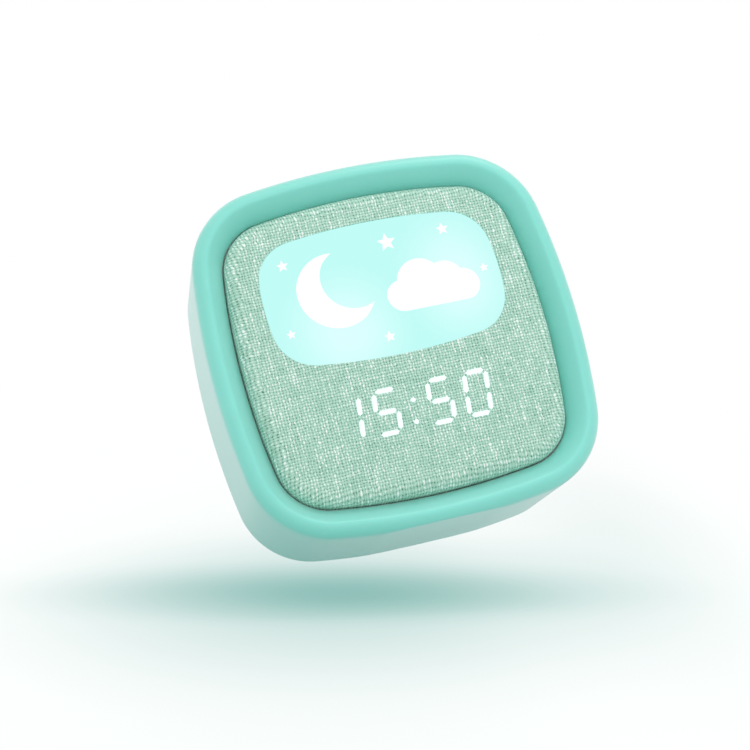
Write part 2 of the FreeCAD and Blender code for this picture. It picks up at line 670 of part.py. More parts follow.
def rear_cover():
    body = new_body("rear_cover")
    plate = new_sketch(body, "cover_recess")
    case_outline(plate, "(cover_inset + hatch_gap)")
    pad(body, plate, "(skin_wall - cover_recess)")
    ring = new_sketch(body, "skin_wall")
    case_outline(ring, "(hatch_inset + hatch_gap)")
    case_outline(ring, "(hatch_inset + hatch_gap + spigot_wall)")
    pad(body, ring, "spigot_rise")
    posts = new_sketch(body, "skin_wall")
    for x, y in board_places():
        circle(posts, x, y, "board_post_radius")
    pad(body, posts, "(board_back - skin_wall)")
    bores(body, board_places(), f"({BOARD_FRONT} - board_screw_length)", "(screw_radius + pilot_gap)",
          "board_screw_length")
    collar = new_sketch(body, "skin_wall")
    circle(collar, "0", SPEAKER_Y, "(speaker_radius + hatch_gap)")
    circle(collar, "0", SPEAKER_Y, "(speaker_radius + hatch_gap + spigot_wall)")
    pad(body, collar, "spigot_rise")
    bores(body, four(POST_AT, POST_AT), "cover_recess", "(head_radius + head_gap)", "head_sink")
    screw_ways(body, four(POST_AT, POST_AT), "cover_recess", "skin_wall")
    bores(body, [(x, "button_y") for x in BUTTON_X], "cover_recess", f"({BUTTON_RADIUS} + button_gap)",
          "skin_wall")
    recess = new_sketch(body, "cover_recess")
    slot(recess, "socket_x", "port_y", "recess_width", "recess_height")
    cut(body, recess, "skin_wall")
    way = new_sketch(body, "cover_recess")
    rectangle(way, "slider_x", "port_y", "(slider_width + slider_travel + 2 * button_gap)",
              "(slider_height + 2 * button_gap)")
    cut(body, way, "skin_wall")
    grille = new_sketch(body, "cover_recess")
    for ring_number in range(int(value("grille_rings")) + 1):
        for step in range(max(1, HOLES_IN_RING * ring_number)):
            turn = step * FULL_TURN / (HOLES_IN_RING * max(1, ring_number))
            x = f"({ring_number} * grille_pitch * cos({turn} * 1deg))"
            y = f"({SPEAKER_Y} + {ring_number} * grille_pitch * sin({turn} * 1deg))"
            circle(grille, x, y, "grille_hole")
    cut(body, grille, "skin_wall")


def board_places():
    return [(f"({side} * {BOARD_POST_X})", f"({BOARD_MIDDLE} + {rise} * {BOARD_HALF})")
            for side in (-1, 1) for rise in (-1, 1)]


def screws(label, places, seat, length, head_front):
    """Screws that share a head seat, with their heads to the front or to the back of it."""
    body = new_body(label)
    heads = new_sketch(body, seat)
    shanks = new_sketch(body, seat)
    for x, y in places:
        circle(heads, x, y, "head_radius")
        circle(shanks, x, y, "screw_radius")
    pad(body, heads, "head_height", backwards=not head_front)
    pad(body, shanks, length, backwards=head_front)
    face = f"({seat} + head_height)" if head_front else f"({seat} - head_height)"
    drives = new_sketch(body, face)
    for x, y in places:
        circle(drives, x, y, "drive_radius")
    cut(body, drives, "drive_depth", forwards=not head_front)


# The cloth front

def pillow(label, inset, foot, top, radius, edge, wall):
    """A shallow crowned shell with a rolled edge, open at the back."""
    body = new_body(label)
    outline = new_sketch(body, foot)
    case_outline(outline, inset)
    pad(body, outline, f"(case_depth + dome_blank - {foot})")
    dome = crown(body, top, radius)
    base = value(foot)
    soft = rounded(body, dome, lambda e: e.BoundBox.ZMin > base + 1, edge)
    shell = body.newObject("PartDesign::Thickness", label + "_shell")
    open_face = [f"Face{i}" for i, face in enumerate(soft.Shape.Faces, start=1)
                 if face.BoundBox.ZMax < base + TOLERANCE]
    shell.Base = (soft, open_face)
    bind(shell, "Value", wall)
    shell.Reversed = True
    doc.recompute()
    return body


def window_cut(body, z, inset):
    opening = new_sketch(body, z)
    window_outline(opening, inset)
    cut(body, opening, "case_depth")


def fabric_cover():
    body = pillow("fabric_cover", CLOTH_INSET, f"({SEAT} + cloth_hem)", "case_depth", "dome_radius",
                  "dome_edge", "cloth_thick")
    window_cut(body, SEAT, "0")


def front_baffle():
    under = "(cloth_thick + cloth_seat)"
    body = pillow("front_baffle", BAFFLE_INSET, SEAT, BAFFLE_TOP, f"(dome_radius - {under})",
                  f"(dome_edge - {under})", "baffle_wall")
    window_cut(body, SEAT, "0")
    display = new_sketch(body, SEAT)
    rectangle(display, "0", "display_y", "(display_width + 2 * display_gap)",
              "(display_height + 2 * display_gap)")
    cut(body, display, "case_depth")
    bosses = new_sketch(body, SEAT)
    for x, y in baffle_places():
        circle(bosses, x, y, "baffle_boss_radius")
    pad(body, bosses, "baffle_boss_height")
    bores(body, baffle_places(), f"({SEAT} + baffle_floor)", "(head_radius + head_gap)", "case_depth")
    screw_ways(body, baffle_places(), SEAT, "baffle_floor")


# The night-light window

MOON_RADIUS = f"(({WINDOW_HEIGHT} - moon_over - moon_under) / 2)"
MOON_X = f"(moon_side + {MOON_RADIUS} - {WINDOW_HALF})"
MOON_Y = f"({WINDOW_TOP} - moon_over - {MOON_RADIUS})"


def crescent(sketch, grow):
    """A crescent moon: a round less a smaller round to its right."""
    x, y = value(MOON_X), value(MOON_Y)
    bite_x, bite_y = f"({MOON_X} + moon_bite_x)", f"({MOON_Y} + moon_bite_y)"
    outer, inner = f"({MOON_RADIUS} + {grow})", f"({MOON_RADIUS} - moon_bite - {grow})"
    big, small = value(outer), value(inner)
    shift_x, shift_y = value("moon_bite_x"), value("moon_bite_y")
    apart = math.hypot(shift_x, shift_y)
    heading = math.atan2(shift_y, shift_x)
    half_turn = math.acos((apart ** 2 + big ** 2 - small ** 2) / (2 * apart * big))
    half_bite = math.acos((apart ** 2 + small ** 2 - big ** 2) / (2 * apart * small))
    back = arc(sketch, x, y, big, heading + half_turn, heading + 2 * math.pi - half_turn)
    hollow = arc(sketch, value(bite_x), value(bite_y), small, heading + math.pi - half_bite,
                 heading + math.pi + half_bite)
    sketch.addConstraint(Sketcher.Constraint("Coincident", back, 1, hollow, 1))
    sketch.addConstraint(Sketcher.Constraint("Coincident", back, 2, hollow, 2))
    pin_point(sketch, back, 3, MOON_X, MOON_Y)
    pin_point(sketch, hollow, 3, bite_x, bite_y)
    dimension(sketch, "Radius", back, outer)
    dimension(sketch, "Radius", hollow, inner)


# Cloud puffs as shares of the end puff: across, up and radius, and the height of the flat base
PUFFS = ((-1.9, 1.0, 1.0), (-0.6, 1.7, 1.45), (0.95, 1.5, 1.2), (2.0, 1.0, 1.0))
BASE_HEIGHT = 1.2
PUFFS_LEFT = PUFFS[0][2] - PUFFS[0][0]
PUFFS_RIGHT = PUFFS[-1][2] + PUFFS[-1][0]
CLOUD_ROOM = f"(2 * ({WINDOW_HALF} - {MOON_RADIUS}) - moon_side - cloud_space - cloud_side)"
PUFF = f"({CLOUD_ROOM} / {PUFFS_LEFT + PUFFS_RIGHT})"
CLOUD_X = f"({WINDOW_HALF} - cloud_side - {PUFFS_RIGHT} * {PUFF})"
CLOUD_Y = "(window_bottom + cloud_under)"

# Stars as shares of the window's half width, its height and the largest star
STAR_POINTS = 5
STARS = ((0.13, 0.82, 1.0), (-0.76, 0.8, 0.62), (0.62, 0.84, 0.68), (-0.84, 0.3, 0.5),
         (-0.06, 0.14, 0.6), (0.87, 0.5, 0.5))


def cloud_shapes(body, z, grow, feature):
    for across, up, share in PUFFS:
        sketch = new_sketch(body, z)
        circle(sketch, f"({CLOUD_X} + {across} * {PUFF})", f"({CLOUD_Y} + {up} * {PUFF})",
               f"({share} * {PUFF} + {grow})")
        feature(sketch)
    sketch = new_sketch(body, z)
    reach = PUFFS[-1][0] - PUFFS[0][0]
    middle = (PUFFS[-1][0] + PUFFS[0][0]) / 2
    rectangle(sketch, f"({CLOUD_X} + {middle} * {PUFF})", f"({CLOUD_Y} + {BASE_HEIGHT / 2} * {PUFF})",
              f"({reach} * {PUFF})", f"({BASE_HEIGHT} * {PUFF} + 2 * {grow})")
    feature(sketch)


def star(sketch, place, grow):
    across, up, share = place
    x = f"({across} * {WINDOW_HALF})"
    y = f"(window_bottom + {up} * {WINDOW_HEIGHT})"
    points = []
    for i in range(2 * STAR_POINTS):
        reach = f"({share} * star_radius * {'1' if i % 2 == 0 else 'star_waist'} + {grow})"
        angle = FULL_TURN / 4 + i * FULL_TURN / (2 * STAR_POINTS)
        points.append((f"({x} + {reach} * cos({angle} * 1deg))", f"({y} + {reach} * sin({angle} * 1deg))"))
    polygon(sketch, points)


FIGURE_FLOOR = "(case_depth - figure_depth)"


def window_lens():
    body = new_body("window_lens")
    lens = new_sketch(body, LENS_FLANGE_FRONT)
    window_outline(lens, "window_gap")
    pad(body, lens, f"(case_depth + dome_blank - {LENS_FLANGE_FRONT})")
    flange = new_sketch(body, LENS_BACK)
    window_outline(flange, "(-lens_flange)")
    pad(body, flange, "lens_flange_thick")
    crown(body, "case_depth", "dome_radius")
    hollow = new_sketch(body, LENS_BACK)
    window_outline(hollow, "(window_gap + lens_wall)")
    cut(body, hollow, f"(case_depth - lens_thick - {LENS_BACK})")
    moon = new_sketch(body, FIGURE_FLOOR)
    crescent(moon, "figure_gap")
    cut(body, moon, "case_depth")
    cloud_shapes(body, FIGURE_FLOOR, "figure_gap", lambda sketch: cut(body, sketch, "case_depth"))
    for place in STARS:
        sky = new_sketch(body, FIGURE_FLOOR)
        star(sky, place, "figure_gap")
        cut(body, sky, "case_depth")


def moon_figure():
    body = new_body("moon_figure")
    sketch = new_sketch(body, FIGURE_FLOOR)
    crescent(sketch, "0")
    pad(body, sketch, "(figure_depth + dome_blank)")
    crown(body, "case_depth", "dome_radius")


def cloud_figure():
    body = new_body("cloud_figure")
    cloud_shapes(body, FIGURE_FLOOR, "0",
                 lambda sketch: pad(body, sketch, "(figure_depth + dome_blank)"))
    crown(body, "case_depth", "dome_radius")


def star_figures():
    body = new_body("star_figures")
    for place in STARS:
        sketch = new_sketch(body, FIGURE_FLOOR)
        star(sketch, place, "0")
        pad(body, sketch, "(figure_depth + dome_blank)")
    crown(body, "case_depth", "dome_radius")


def light_box():
    body = new_body("light_box")
    outside = new_sketch(body, BOX_BACK)
    window_outline(outside, "(-box_margin - box_wall)")
    pad(body, outside, "box_depth")
    inside = new_sketch(body, BOX_BACK)
    window_outline(inside, "(-box_margin)")
    cut(body, inside, "box_depth")


def night_light_board():
    body = new_body("night_light_board")
    sketch = new_sketch(body, f"({BOX_BACK} - light_board_thick)")
    window_outline(sketch, "(-box_margin - box_wall)")
    pad(body, sketch, "light_board_thick")


def night_light_leds():
    body = new_body("night_light_leds")
    for x in ("-light_chip_x", "0", "light_chip_x"):
        for side in (-1, 1):
            block(body, f"({x})", f"({WINDOW_MID} + {side} * light_chip_rise)", BOX_BACK, "light_chip",
                  "light_chip", "light_chip_height")


# The time display

# Bars of a figure: top, upper right, lower right, bottom, lower left, upper left and middle
BARS = "abcdefg"
LIT = {"1": "bc", "5": "acdfg", "0": "abcdef"}
SHOWN = "1550"
DIGIT_X = ("(-pair_offset - digit_pitch / 2)", "(-pair_offset + digit_pitch / 2)",
           "(pair_offset - digit_pitch / 2)", "(pair_offset + digit_pitch / 2)")


def leaned(x, y):
    """A point of a figure, leaned about the middle of the display."""
    return f"({x} + {y} * tan(digit_slant * 1deg))", f"(display_y + {y})"


def bar_outline(sketch, x, name):
    half_w, half_h = "((digit_width - segment_width) / 2)", "((digit_height - segment_width) / 2)"
    half_bar = "(segment_width / 2)"
    if name in "agd":
        y = {"a": half_h, "g": "0", "d": f"(-{half_h})"}[name]
        tip, shoulder = f"({half_w} - segment_gap)", f"({half_w} - segment_gap - {half_bar})"
        outline = [(f"-{tip}", y), (f"-{shoulder}", f"({y} - {half_bar})"),
                   (shoulder, f"({y} - {half_bar})"), (tip, y),
                   (shoulder, f"({y} + {half_bar})"), (f"-{shoulder}", f"({y} + {half_bar})")]
    else:
        across = half_w if name in "bc" else f"(-{half_w})"
        side = 1 if name in "bf" else -1
        near, far = "segment_gap", f"({half_h} - segment_gap)"
        outline = [(across, f"({side} * {near})"),
                   (f"({across} + {half_bar})", f"({side} * ({near} + {half_bar}))"),
                   (f"({across} + {half_bar})", f"({side} * ({far} - {half_bar}))"),
                   (across, f"({side} * {far})"),
                   (f"({across} - {half_bar})", f"({side} * ({far} - {half_bar}))"),
                   (f"({across} - {half_bar})", f"({side} * ({near} + {half_bar}))")]
    polygon(sketch, [leaned(f"({x} + {px})", py) for px, py in outline])


def colon(sketch):
    for side in (-1, 1):
        circle(sketch, *leaned("0", f"({side} * colon_spread)"), "(segment_width / 2)")


def display_shapes(body, wanted, with_colon, feature):
    """The wanted bars of each figure as one sketch, and the colon as another."""
    floor = f"({DISPLAY_FACE} - segment_deep)"
    for x, figure in zip(DIGIT_X, SHOWN):
        sketch = new_sketch(body, floor)
        for name in BARS:
            if wanted(name in LIT[figure]):
                bar_outline(sketch, x, name)
        if sketch.GeometryCount:
            feature(body, sketch, "segment_deep")
        else:
            body.removeObject(sketch)
            doc.removeObject(sketch.Name)
    if with_colon:
        sketch = new_sketch(body, floor)
        colon(sketch)
        feature(body, sketch, "segment_deep")


def display_segments(label, wanted, with_colon):
    display_shapes(new_body(label), wanted, with_colon, pad)


def display_block():
    body = new_body("display_block")
    block(body, "0", "display_y", DISPLAY_BACK, "display_width", "display_height", "display_depth")
    display_shapes(body, lambda lit: True, True, cut)


def display_board():
    body = new_body("display_board")
    block(body, "0", "display_y", f"({DISPLAY_BACK} - display_board_thick)",
          "(display_width + 2 * display_board_margin)", "(display_height + 2 * display_board_margin)",
          "display_board_thick")


# The main board, its switches and its socket

BUTTONS = ("clock_button", "alarm_button", "minus_button", "plus_button", "light_button")
BUTTON_X = [f"({i - (len(BUTTONS) - 1) / 2} * {BUTTON_PITCH})" for i in range(len(BUTTONS))]


def main_board():
    body = new_body("main_board")
    plate = block(body, "0", BOARD_MIDDLE, "board_back", BOARD_WIDTH, "(board_top - board_bottom)",
                  "board_thick")
    rounded(body, plate, upright, "(board_screw_inset / 2)")
    screw_ways(body, board_places(), "board_back", "board_thick")


def tact_switches():
    body = new_body("tact_switches")
    for x in BUTTON_X:
        block(body, x, "button_y", SWITCH_BACK, "switch_size", "switch_size", "switch_height")
    bores(body, [(x, "button_y") for x in BUTTON_X], SWITCH_BACK, "(plunger_radius + button_gap)",
          "(plunger_deep + button_travel + button_gap)")


def rear_button(label, x):
    body = new_body(label)
    flange_z = "(skin_wall + button_gap)"
    disc(body, x, "button_y", "0", BUTTON_RADIUS, f"({flange_z} + button_flange_thick)")
    disc(body, x, "button_y", flange_z, f"({BUTTON_RADIUS} + button_flange)", "button_flange_thick")
    stem_length = f"({SWITCH_BACK} - plunger_proud - {flange_z})"
    stem = disc(body, x, "button_y", flange_z, "plunger_radius", stem_length)
    rounded(body, stem, level_at(0), "button_round")


def plunger(label, x):
    body = new_body(label)
    disc(body, x, "button_y", f"({SWITCH_BACK} - plunger_proud)", "plunger_radius",
         "(plunger_proud + plunger_deep)")


def charging_socket():
    body = new_body("charging_socket")
    mouth = "(board_back - socket_depth)"
    shell = new_sketch(body, mouth)
    slot(shell, "socket_x", "port_y", "socket_width", "socket_height")
    pad(body, shell, "socket_depth")
    room = new_sketch(body, mouth)
    slot(room, "socket_x", "port_y", "(socket_width - 2 * socket_wall)", "(socket_height - 2 * socket_wall)")
    cut(body, room, "(socket_depth - 2 * socket_wall)")
    block(body, "socket_x", "port_y", f"({mouth} + socket_wall)", "tongue_width", "socket_tongue",
          "(socket_depth - 2 * socket_wall)")


def slide_switch():
    body = new_body("slide_switch_body")
    back = "(board_back - slide_body_depth)"
    block(body, "slider_x", "port_y", back, "slide_body_width", "slide_body_height", "slide_body_depth")
    channel = new_sketch(body, back)
    rectangle(channel, "slider_x", "port_y", "(slider_width + slider_travel + 2 * button_gap)",
              "(slider_height + 2 * button_gap)")
    cut(body, channel, "(slide_body_bore + button_gap)")
    knob = new_body("slide_switch_knob")
    block(knob, "(slider_x - slider_travel / 2)", "port_y", "0", "slider_width", "slider_height",
          f"({back} + slide_body_bore)")


def clock_chip():
    body = new_body("clock_chip")
    block(body, "0", BOARD_MIDDLE, BOARD_FRONT, "chip_size", "chip_size", "chip_height")


PLUG_X = f"(plug_share * {BOARD_WIDTH})"
PLUG_LOW = "(board_bottom + 2 * plug_height)"
PLUG_HIGH = "(board_top - plug_height)"
LEAD_SOCKETS = {"battery": (f"(-{PLUG_X})", PLUG_LOW), "speaker": (PLUG_X, PLUG_HIGH),
                "display": (PLUG_X, PLUG_LOW), "light": (f"(-{PLUG_X})", PLUG_HIGH)}


def lead_sockets():
    body = new_body("lead_sockets")
    for x, y in LEAD_SOCKETS.values():
        block(body, x, y, BOARD_FRONT, "plug_width", "plug_height", "plug_depth")
        room = new_sketch(body, f"({BOARD_FRONT} + 2 * socket_wall)")
        rectangle(room, x, y, "(plug_width - 4 * socket_wall)", "(plug_height - 4 * socket_wall)")
        cut(body, room, "plug_depth")


# The speaker

SPEAKER_FOOT = "(skin_wall + gasket_thick)"


def speaker_gasket():
    body = new_body("speaker_gasket")
    inner, outer = "(speaker_radius - speaker_rim)", "speaker_radius"
    turned(body, [(inner, "skin_wall"), (outer, "skin_wall"), (outer, SPEAKER_FOOT), (inner, SPEAKER_FOOT)],
           y=SPEAKER_Y)


def speaker_basket():
    body = new_body("speaker_basket")
    mouth, waist = "(speaker_radius - speaker_rim)", "(magnet_radius - speaker_sheet)"
    rim_top, top = f"({SPEAKER_FOOT} + speaker_sheet)", f"({SPEAKER_FOOT} + speaker_deep)"
    turned(body, [(mouth, SPEAKER_FOOT), ("speaker_radius", SPEAKER_FOOT), ("speaker_radius", rim_top),
                  (f"({mouth} + speaker_sheet)", rim_top), ("magnet_radius", top), ("0", top),
                  ("0", f"({top} - speaker_sheet)"), (waist, f"({top} - speaker_sheet)"),
                  (mouth, rim_top)], y=SPEAKER_Y)


def speaker_magnet():
    body = new_body("speaker_magnet")
    disc(body, "0", SPEAKER_Y, f"({SPEAKER_FOOT} + speaker_deep)", "magnet_radius", "magnet_thick")


def speaker_cone():
    body = new_body("speaker_cone")
    rim, throat = "(speaker_radius - speaker_rim - cone_gap)", "cap_radius"
    low, high = SPEAKER_FOOT, f"({SPEAKER_FOOT} + cone_deep)"
    turned(body, [(rim, low), (throat, f"({high} - cone_thick)"), ("0", f"({high} - cone_thick)"),
                  ("0", high), (throat, high), (rim, f"({low} + cone_thick)")], y=SPEAKER_Y)


# The rechargeable cell

HOLDER_HALF = "(battery_length / 2 + contact_thick + battery_gap)"
HOLDER_REACH = "(battery_radius + battery_gap + holder_wall)"
HOLDER_BOW = f"(({HOLDER_HALF} + holder_wall)^2 / (2 * side_radius))"
BATTERY_FLOOR = f"(case_half - {inset_at(ROOM_INSET, f'(battery_z - {HOLDER_REACH})')} - {HOLDER_BOW})"
BATTERY_Y = f"({HOLDER_REACH} + holder_gap - {BATTERY_FLOOR})"


def battery_cell():
    body = new_body("battery_cell")
    sketch = new_sketch(body, "0", "YZ_Plane")
    circle(sketch, BATTERY_Y, "battery_z", "battery_radius")
    bar(body, sketch, "battery_length")


def battery_holder():
    body = new_body("battery_holder")
    reach = HOLDER_REACH
    side = new_sketch(body, "0", "YZ_Plane")
    low, high = f"({BATTERY_Y} - {reach})", f"({BATTERY_Y} + holder_lip)"
    back, front = f"(battery_z - {reach})", f"(battery_z + {reach})"
    polygon(side, [(low, back), (high, back), (high, front), (low, front)])
    bar(body, side, f"(2 * ({HOLDER_HALF} + holder_wall))")
    trough = new_sketch(body, "0", "YZ_Plane")
    circle(trough, BATTERY_Y, "battery_z", "(battery_radius + battery_gap)")
    rounded_cut = cut(body, trough, f"(2 * {HOLDER_HALF})")
    rounded_cut.Midplane = True
    mouth = new_sketch(body, "0", "YZ_Plane")
    over = f"({high} + holder_wall)"
    room_back = "(battery_z - battery_radius - battery_gap)"
    room_front = "(battery_z + battery_radius + battery_gap)"
    polygon(mouth, [(BATTERY_Y, room_back), (over, room_back), (over, room_front), (BATTERY_Y, room_front)])
    opened = cut(body, mouth, f"(2 * {HOLDER_HALF})")
    opened.Midplane = True


def battery_contacts():
    body = new_body("battery_contacts")
    for side in (-1, 1):
        inner = f"({side} * (battery_length / 2 + (contact_thick + battery_gap) / 2 + battery_gap / 2))"
        sketch = new_sketch(body, f"(battery_z - contact_half)")
        rectangle(sketch, inner, BATTERY_Y, "contact_thick", "(2 * contact_half)")
        pad(body, sketch, "(2 * contact_half)")


# The top button

def snooze_button():
    body = new_body("snooze_button")
    top = f"(case_half - {inset_at('0', 'snooze_z')} + snooze_proud)"
    flange_top = f"({SNOOZE_ROOM} - snooze_drop)"
    cap = new_sketch(body, f"-({top})", "XZ_Plane")
    slot(cap, "0", "snooze_z", "snooze_length", "snooze_width")
    pad(body, cap, f"({top} - {flange_top} + snooze_flange_thick)")
    flange = new_sketch(body, f"-({flange_top})", "XZ_Plane")
    slot(flange, "0", "snooze_z", "(snooze_length + 2 * snooze_flange)",
         "(snooze_width + 2 * snooze_flange)")
    pad(body, flange, "snooze_flange_thick")
    stem = new_sketch(body, f"-({flange_top})", "XZ_Plane")
    circle(stem, "0", "snooze_z", "plunger_radius")
    stem_pad = pad(body, stem, f"({flange_top} - {SNOOZE_BOARD_Y} - switch_height - plunger_proud)")
    crest = value(top)

    def at_top(edge):
        return edge.BoundBox.YMin > crest - TOLERANCE

    rounded(body, stem_pad, at_top, "snooze_round")


def snooze_plunger():
    body = new_body("snooze_plunger")
    sketch = new_sketch(body, f"-({SNOOZE_BOARD_Y} + switch_height + plunger_proud)", "XZ_Plane")
    circle(sketch, "0", "snooze_z", "plunger_radius")
    pad(body, sketch, "(plunger_proud + plunger_deep)")


def snooze_switch():
    body = new_body("snooze_switch")
    sketch = new_sketch(body, f"-({SNOOZE_BOARD_Y} + switch_height)", "XZ_Plane")
    rectangle(sketch, "0", "snooze_z", "switch_size", "switch_size")
    pad(body, sketch, "switch_height")
    room = new_sketch(body, f"-({SNOOZE_BOARD_Y} + switch_height)", "XZ_Plane")
    circle(room, "0", "snooze_z", "(plunger_radius + button_gap)")
    cut(body, room, "(plunger_deep + snooze_travel + button_gap)")


def snooze_board():
    body = new_body("snooze_board")
    sketch = new_sketch(body, f"-{SNOOZE_BOARD_Y}", "XZ_Plane")
    rectangle(sketch, "0", "snooze_z", "snooze_board_width", "snooze_board_depth")
    for x in SNOOZE_POSTS:
        circle(sketch, x, "snooze_z", "(screw_radius + head_gap)")
    pad(body, sketch, "snooze_board_thick")


def snooze_screws():
    body = new_body("snooze_screws")
    seat = f"-({SNOOZE_BOARD_Y} - snooze_board_thick)"
    heads = new_sketch(body, seat, "XZ_Plane")
    shanks = new_sketch(body, seat, "XZ_Plane")
    for x in SNOOZE_POSTS:
        circle(heads, x, "snooze_z", "head_radius")
        circle(shanks, x, "snooze_z", "screw_radius")
    pad(body, heads, "head_height")
    pad(body, shanks, "snooze_screw_length", backwards=True)


def build():
    soft_skin()
    main_housing()
    rear_cover()
    screws("rear_cover_screws", four(POST_AT, POST_AT), "(cover_recess + head_sink)", "screw_length",
           head_front=False)
    fabric_cover()
    front_baffle()
    screws("baffle_screws", baffle_places(), f"({SEAT} + baffle_floor)", "baffle_screw_length",
           head_front=True)
    window_lens()
    moon_figure()
    cloud_figure()
    star_figures()
    light_box()
    night_light_board()
    night_light_leds()
    display_segments("lit_segments", lambda lit: lit, with_colon=True)
    display_segments("dark_segments", lambda lit: not lit, with_colon=False)
    display_block()
    display_board()
    main_board()
    screws("board_screws", board_places(), BOARD_FRONT, "board_screw_length", head_front=True)
    tact_switches()
    for label, x in zip(BUTTONS, BUTTON_X):
        rear_button(label, x)
        plunger(label.replace("button", "plunger"), x)
    charging_socket()
    slide_switch()
    clock_chip()
    lead_sockets()
    speaker_gasket()
    speaker_basket()
    speaker_magnet()
    speaker_cone()
    battery_cell()
    battery_holder()
    battery_contacts()
    snooze_button()
    snooze_plunger()
    snooze_switch()
    snooze_board()
    snooze_screws()


def stand_up():
    """Stand the clock on its flat, with the front towards -Y."""
    turn = FreeCAD.Rotation(Vector(1, 0, 0), 90 - value("wall_taper"))
    middle = f"((back_round + {WIDEST}) / 2)"
    foot = turn.multVec(Vector(0, value(rest_line(middle)), value(middle)))
    for part in PARTS:
        part.Placement = FreeCAD.Placement(foot.negative(), turn)


def check():
    for thing in doc.Objects:
        if "Invalid" in thing.State or "Error" in thing.State:
            raise RuntimeError(f"{thing.Label} failed: {thing.State}")
    for part in PARTS:
        if part.Shape.isNull() or not part.Shape.isValid():
            raise RuntimeError(part.Label + " has no valid shape")


def write():
    os.makedirs("parts", exist_ok=True)
    for part in PARTS:
        part.Shape.exportStep(os.path.join("parts", part.Label + ".step"))
        print(f"{part.Label:20s} {len(part.Shape.Solids):3d} solids {part.Shape.Volume:10.1f} mm3")


build()
stand_up()
doc.recompute()
check()
write()
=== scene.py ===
"""Kids alarm clock with night light: a mint silicone skin, a woven front and a lit window.

Pieces are drawn on the bench, as the solids are: X to the right as seen from the front, Y up the
face and Z towards the front, in metres, with the back plane at z = 0. BENCH_TO_ROW stands them up.
"""
import bmesh
import bpy
import json
import math
import numpy as np
from mathutils import Matrix, Vector

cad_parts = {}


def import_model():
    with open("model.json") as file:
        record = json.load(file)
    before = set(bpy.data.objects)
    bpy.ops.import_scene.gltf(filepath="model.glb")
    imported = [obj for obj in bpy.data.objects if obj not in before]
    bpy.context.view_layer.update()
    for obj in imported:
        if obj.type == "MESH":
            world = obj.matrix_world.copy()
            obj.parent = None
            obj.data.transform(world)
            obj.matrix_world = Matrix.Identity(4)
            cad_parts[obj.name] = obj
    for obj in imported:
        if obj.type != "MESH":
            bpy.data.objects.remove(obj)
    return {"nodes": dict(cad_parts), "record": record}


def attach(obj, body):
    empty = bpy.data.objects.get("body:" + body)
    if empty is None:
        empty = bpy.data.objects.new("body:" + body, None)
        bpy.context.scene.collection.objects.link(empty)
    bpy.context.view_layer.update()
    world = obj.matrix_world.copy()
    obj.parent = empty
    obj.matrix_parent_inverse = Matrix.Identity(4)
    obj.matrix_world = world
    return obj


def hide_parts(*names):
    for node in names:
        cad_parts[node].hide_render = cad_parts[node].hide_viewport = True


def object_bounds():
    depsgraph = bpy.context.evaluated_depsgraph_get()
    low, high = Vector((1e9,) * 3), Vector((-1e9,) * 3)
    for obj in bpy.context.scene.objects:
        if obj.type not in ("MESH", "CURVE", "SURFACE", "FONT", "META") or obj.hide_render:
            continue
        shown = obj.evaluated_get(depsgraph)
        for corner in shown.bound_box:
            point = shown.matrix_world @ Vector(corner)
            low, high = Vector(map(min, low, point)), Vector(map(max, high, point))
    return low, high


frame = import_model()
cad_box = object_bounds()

MM = 0.001

# Real sizes of the clock, in millimetres and degrees
CASE_HALF = 60.0
CASE_DEPTH = 52.0
SIDE_RADIUS = 236.0
CORNER_RADIUS = 27.0
WALL_TAPER = 4.06
FRONT_ROUND = 3.9
BACK_ROUND = 8.0
RIM_WIDTH = 9.8
RIM_RISE = 6.3
RIM_LIP = 3.2
RIM_EASE = 0.16
FOOT_FLAT = 0.8
SKIN_WALL = 2.0
SKIN_EDGE = 0.6
COVER_INSET = 14.0
CLOTH_GAP = 0.5
CLOTH_THICK = 0.9
CLOTH_HEM = 0.5
DOME_RADIUS = 833.0
DOME_EDGE = 4.0
WINDOW_SIDES = (38.8, 40.0, -5.2)
WINDOW_RADII = (70.0, 220.0, 180.0)
WINDOW_CORNER = 13.5
WINDOW_MID = 17.0
DISPLAY_X = -0.9
DISPLAY_Y = -22.4
DIGIT_HEIGHT = 15.2
DIGIT_WIDTH = 8.7
DIGIT_SLANT = 6.6
DIGIT_PITCH = 12.2
PAIR_OFFSET = 14.9
SEGMENT_WIDTH = 1.55
SEGMENT_GAP = 0.55
COLON_SPREAD = 3.5
COLON_DROP = 1.5
COLON_DOT = 0.75
GLOW_LIFT = 0.06
SNOOZE_Z = 18.0
SNOOZE_LENGTH = 34.7
SNOOZE_WIDTH = 11.7
SNOOZE_WAY_DEPTH = 8.0
SNOOZE_WAY_OVER = 2.0
THREAD_PITCH = 0.95
EDGE_STRETCH = 0.55

# Rings of the cloth, over its rolled edge and over its crown
ROLL_RINGS = 13
CROWN_RINGS = 26

WIDEST = CASE_DEPTH - FRONT_ROUND
SEAT = CASE_DEPTH - RIM_RISE - RIM_LIP
CLOTH_INSET = RIM_WIDTH + CLOTH_GAP
LEAN = math.radians(WALL_TAPER)


def bench_to_row():
    """The turn and the step that stand the bench's clock on its flat."""
    middle = (BACK_ROUND + WIDEST) / 2
    low = -CASE_HALF + FOOT_FLAT + (WIDEST - middle) * math.tan(LEAN)
    turn = Matrix.Rotation(math.radians(90) - LEAN, 4, "X")
    return turn @ Matrix.Translation(Vector((0, -low, -middle)) * MM)


BENCH_TO_ROW = bench_to_row()


# Outlines

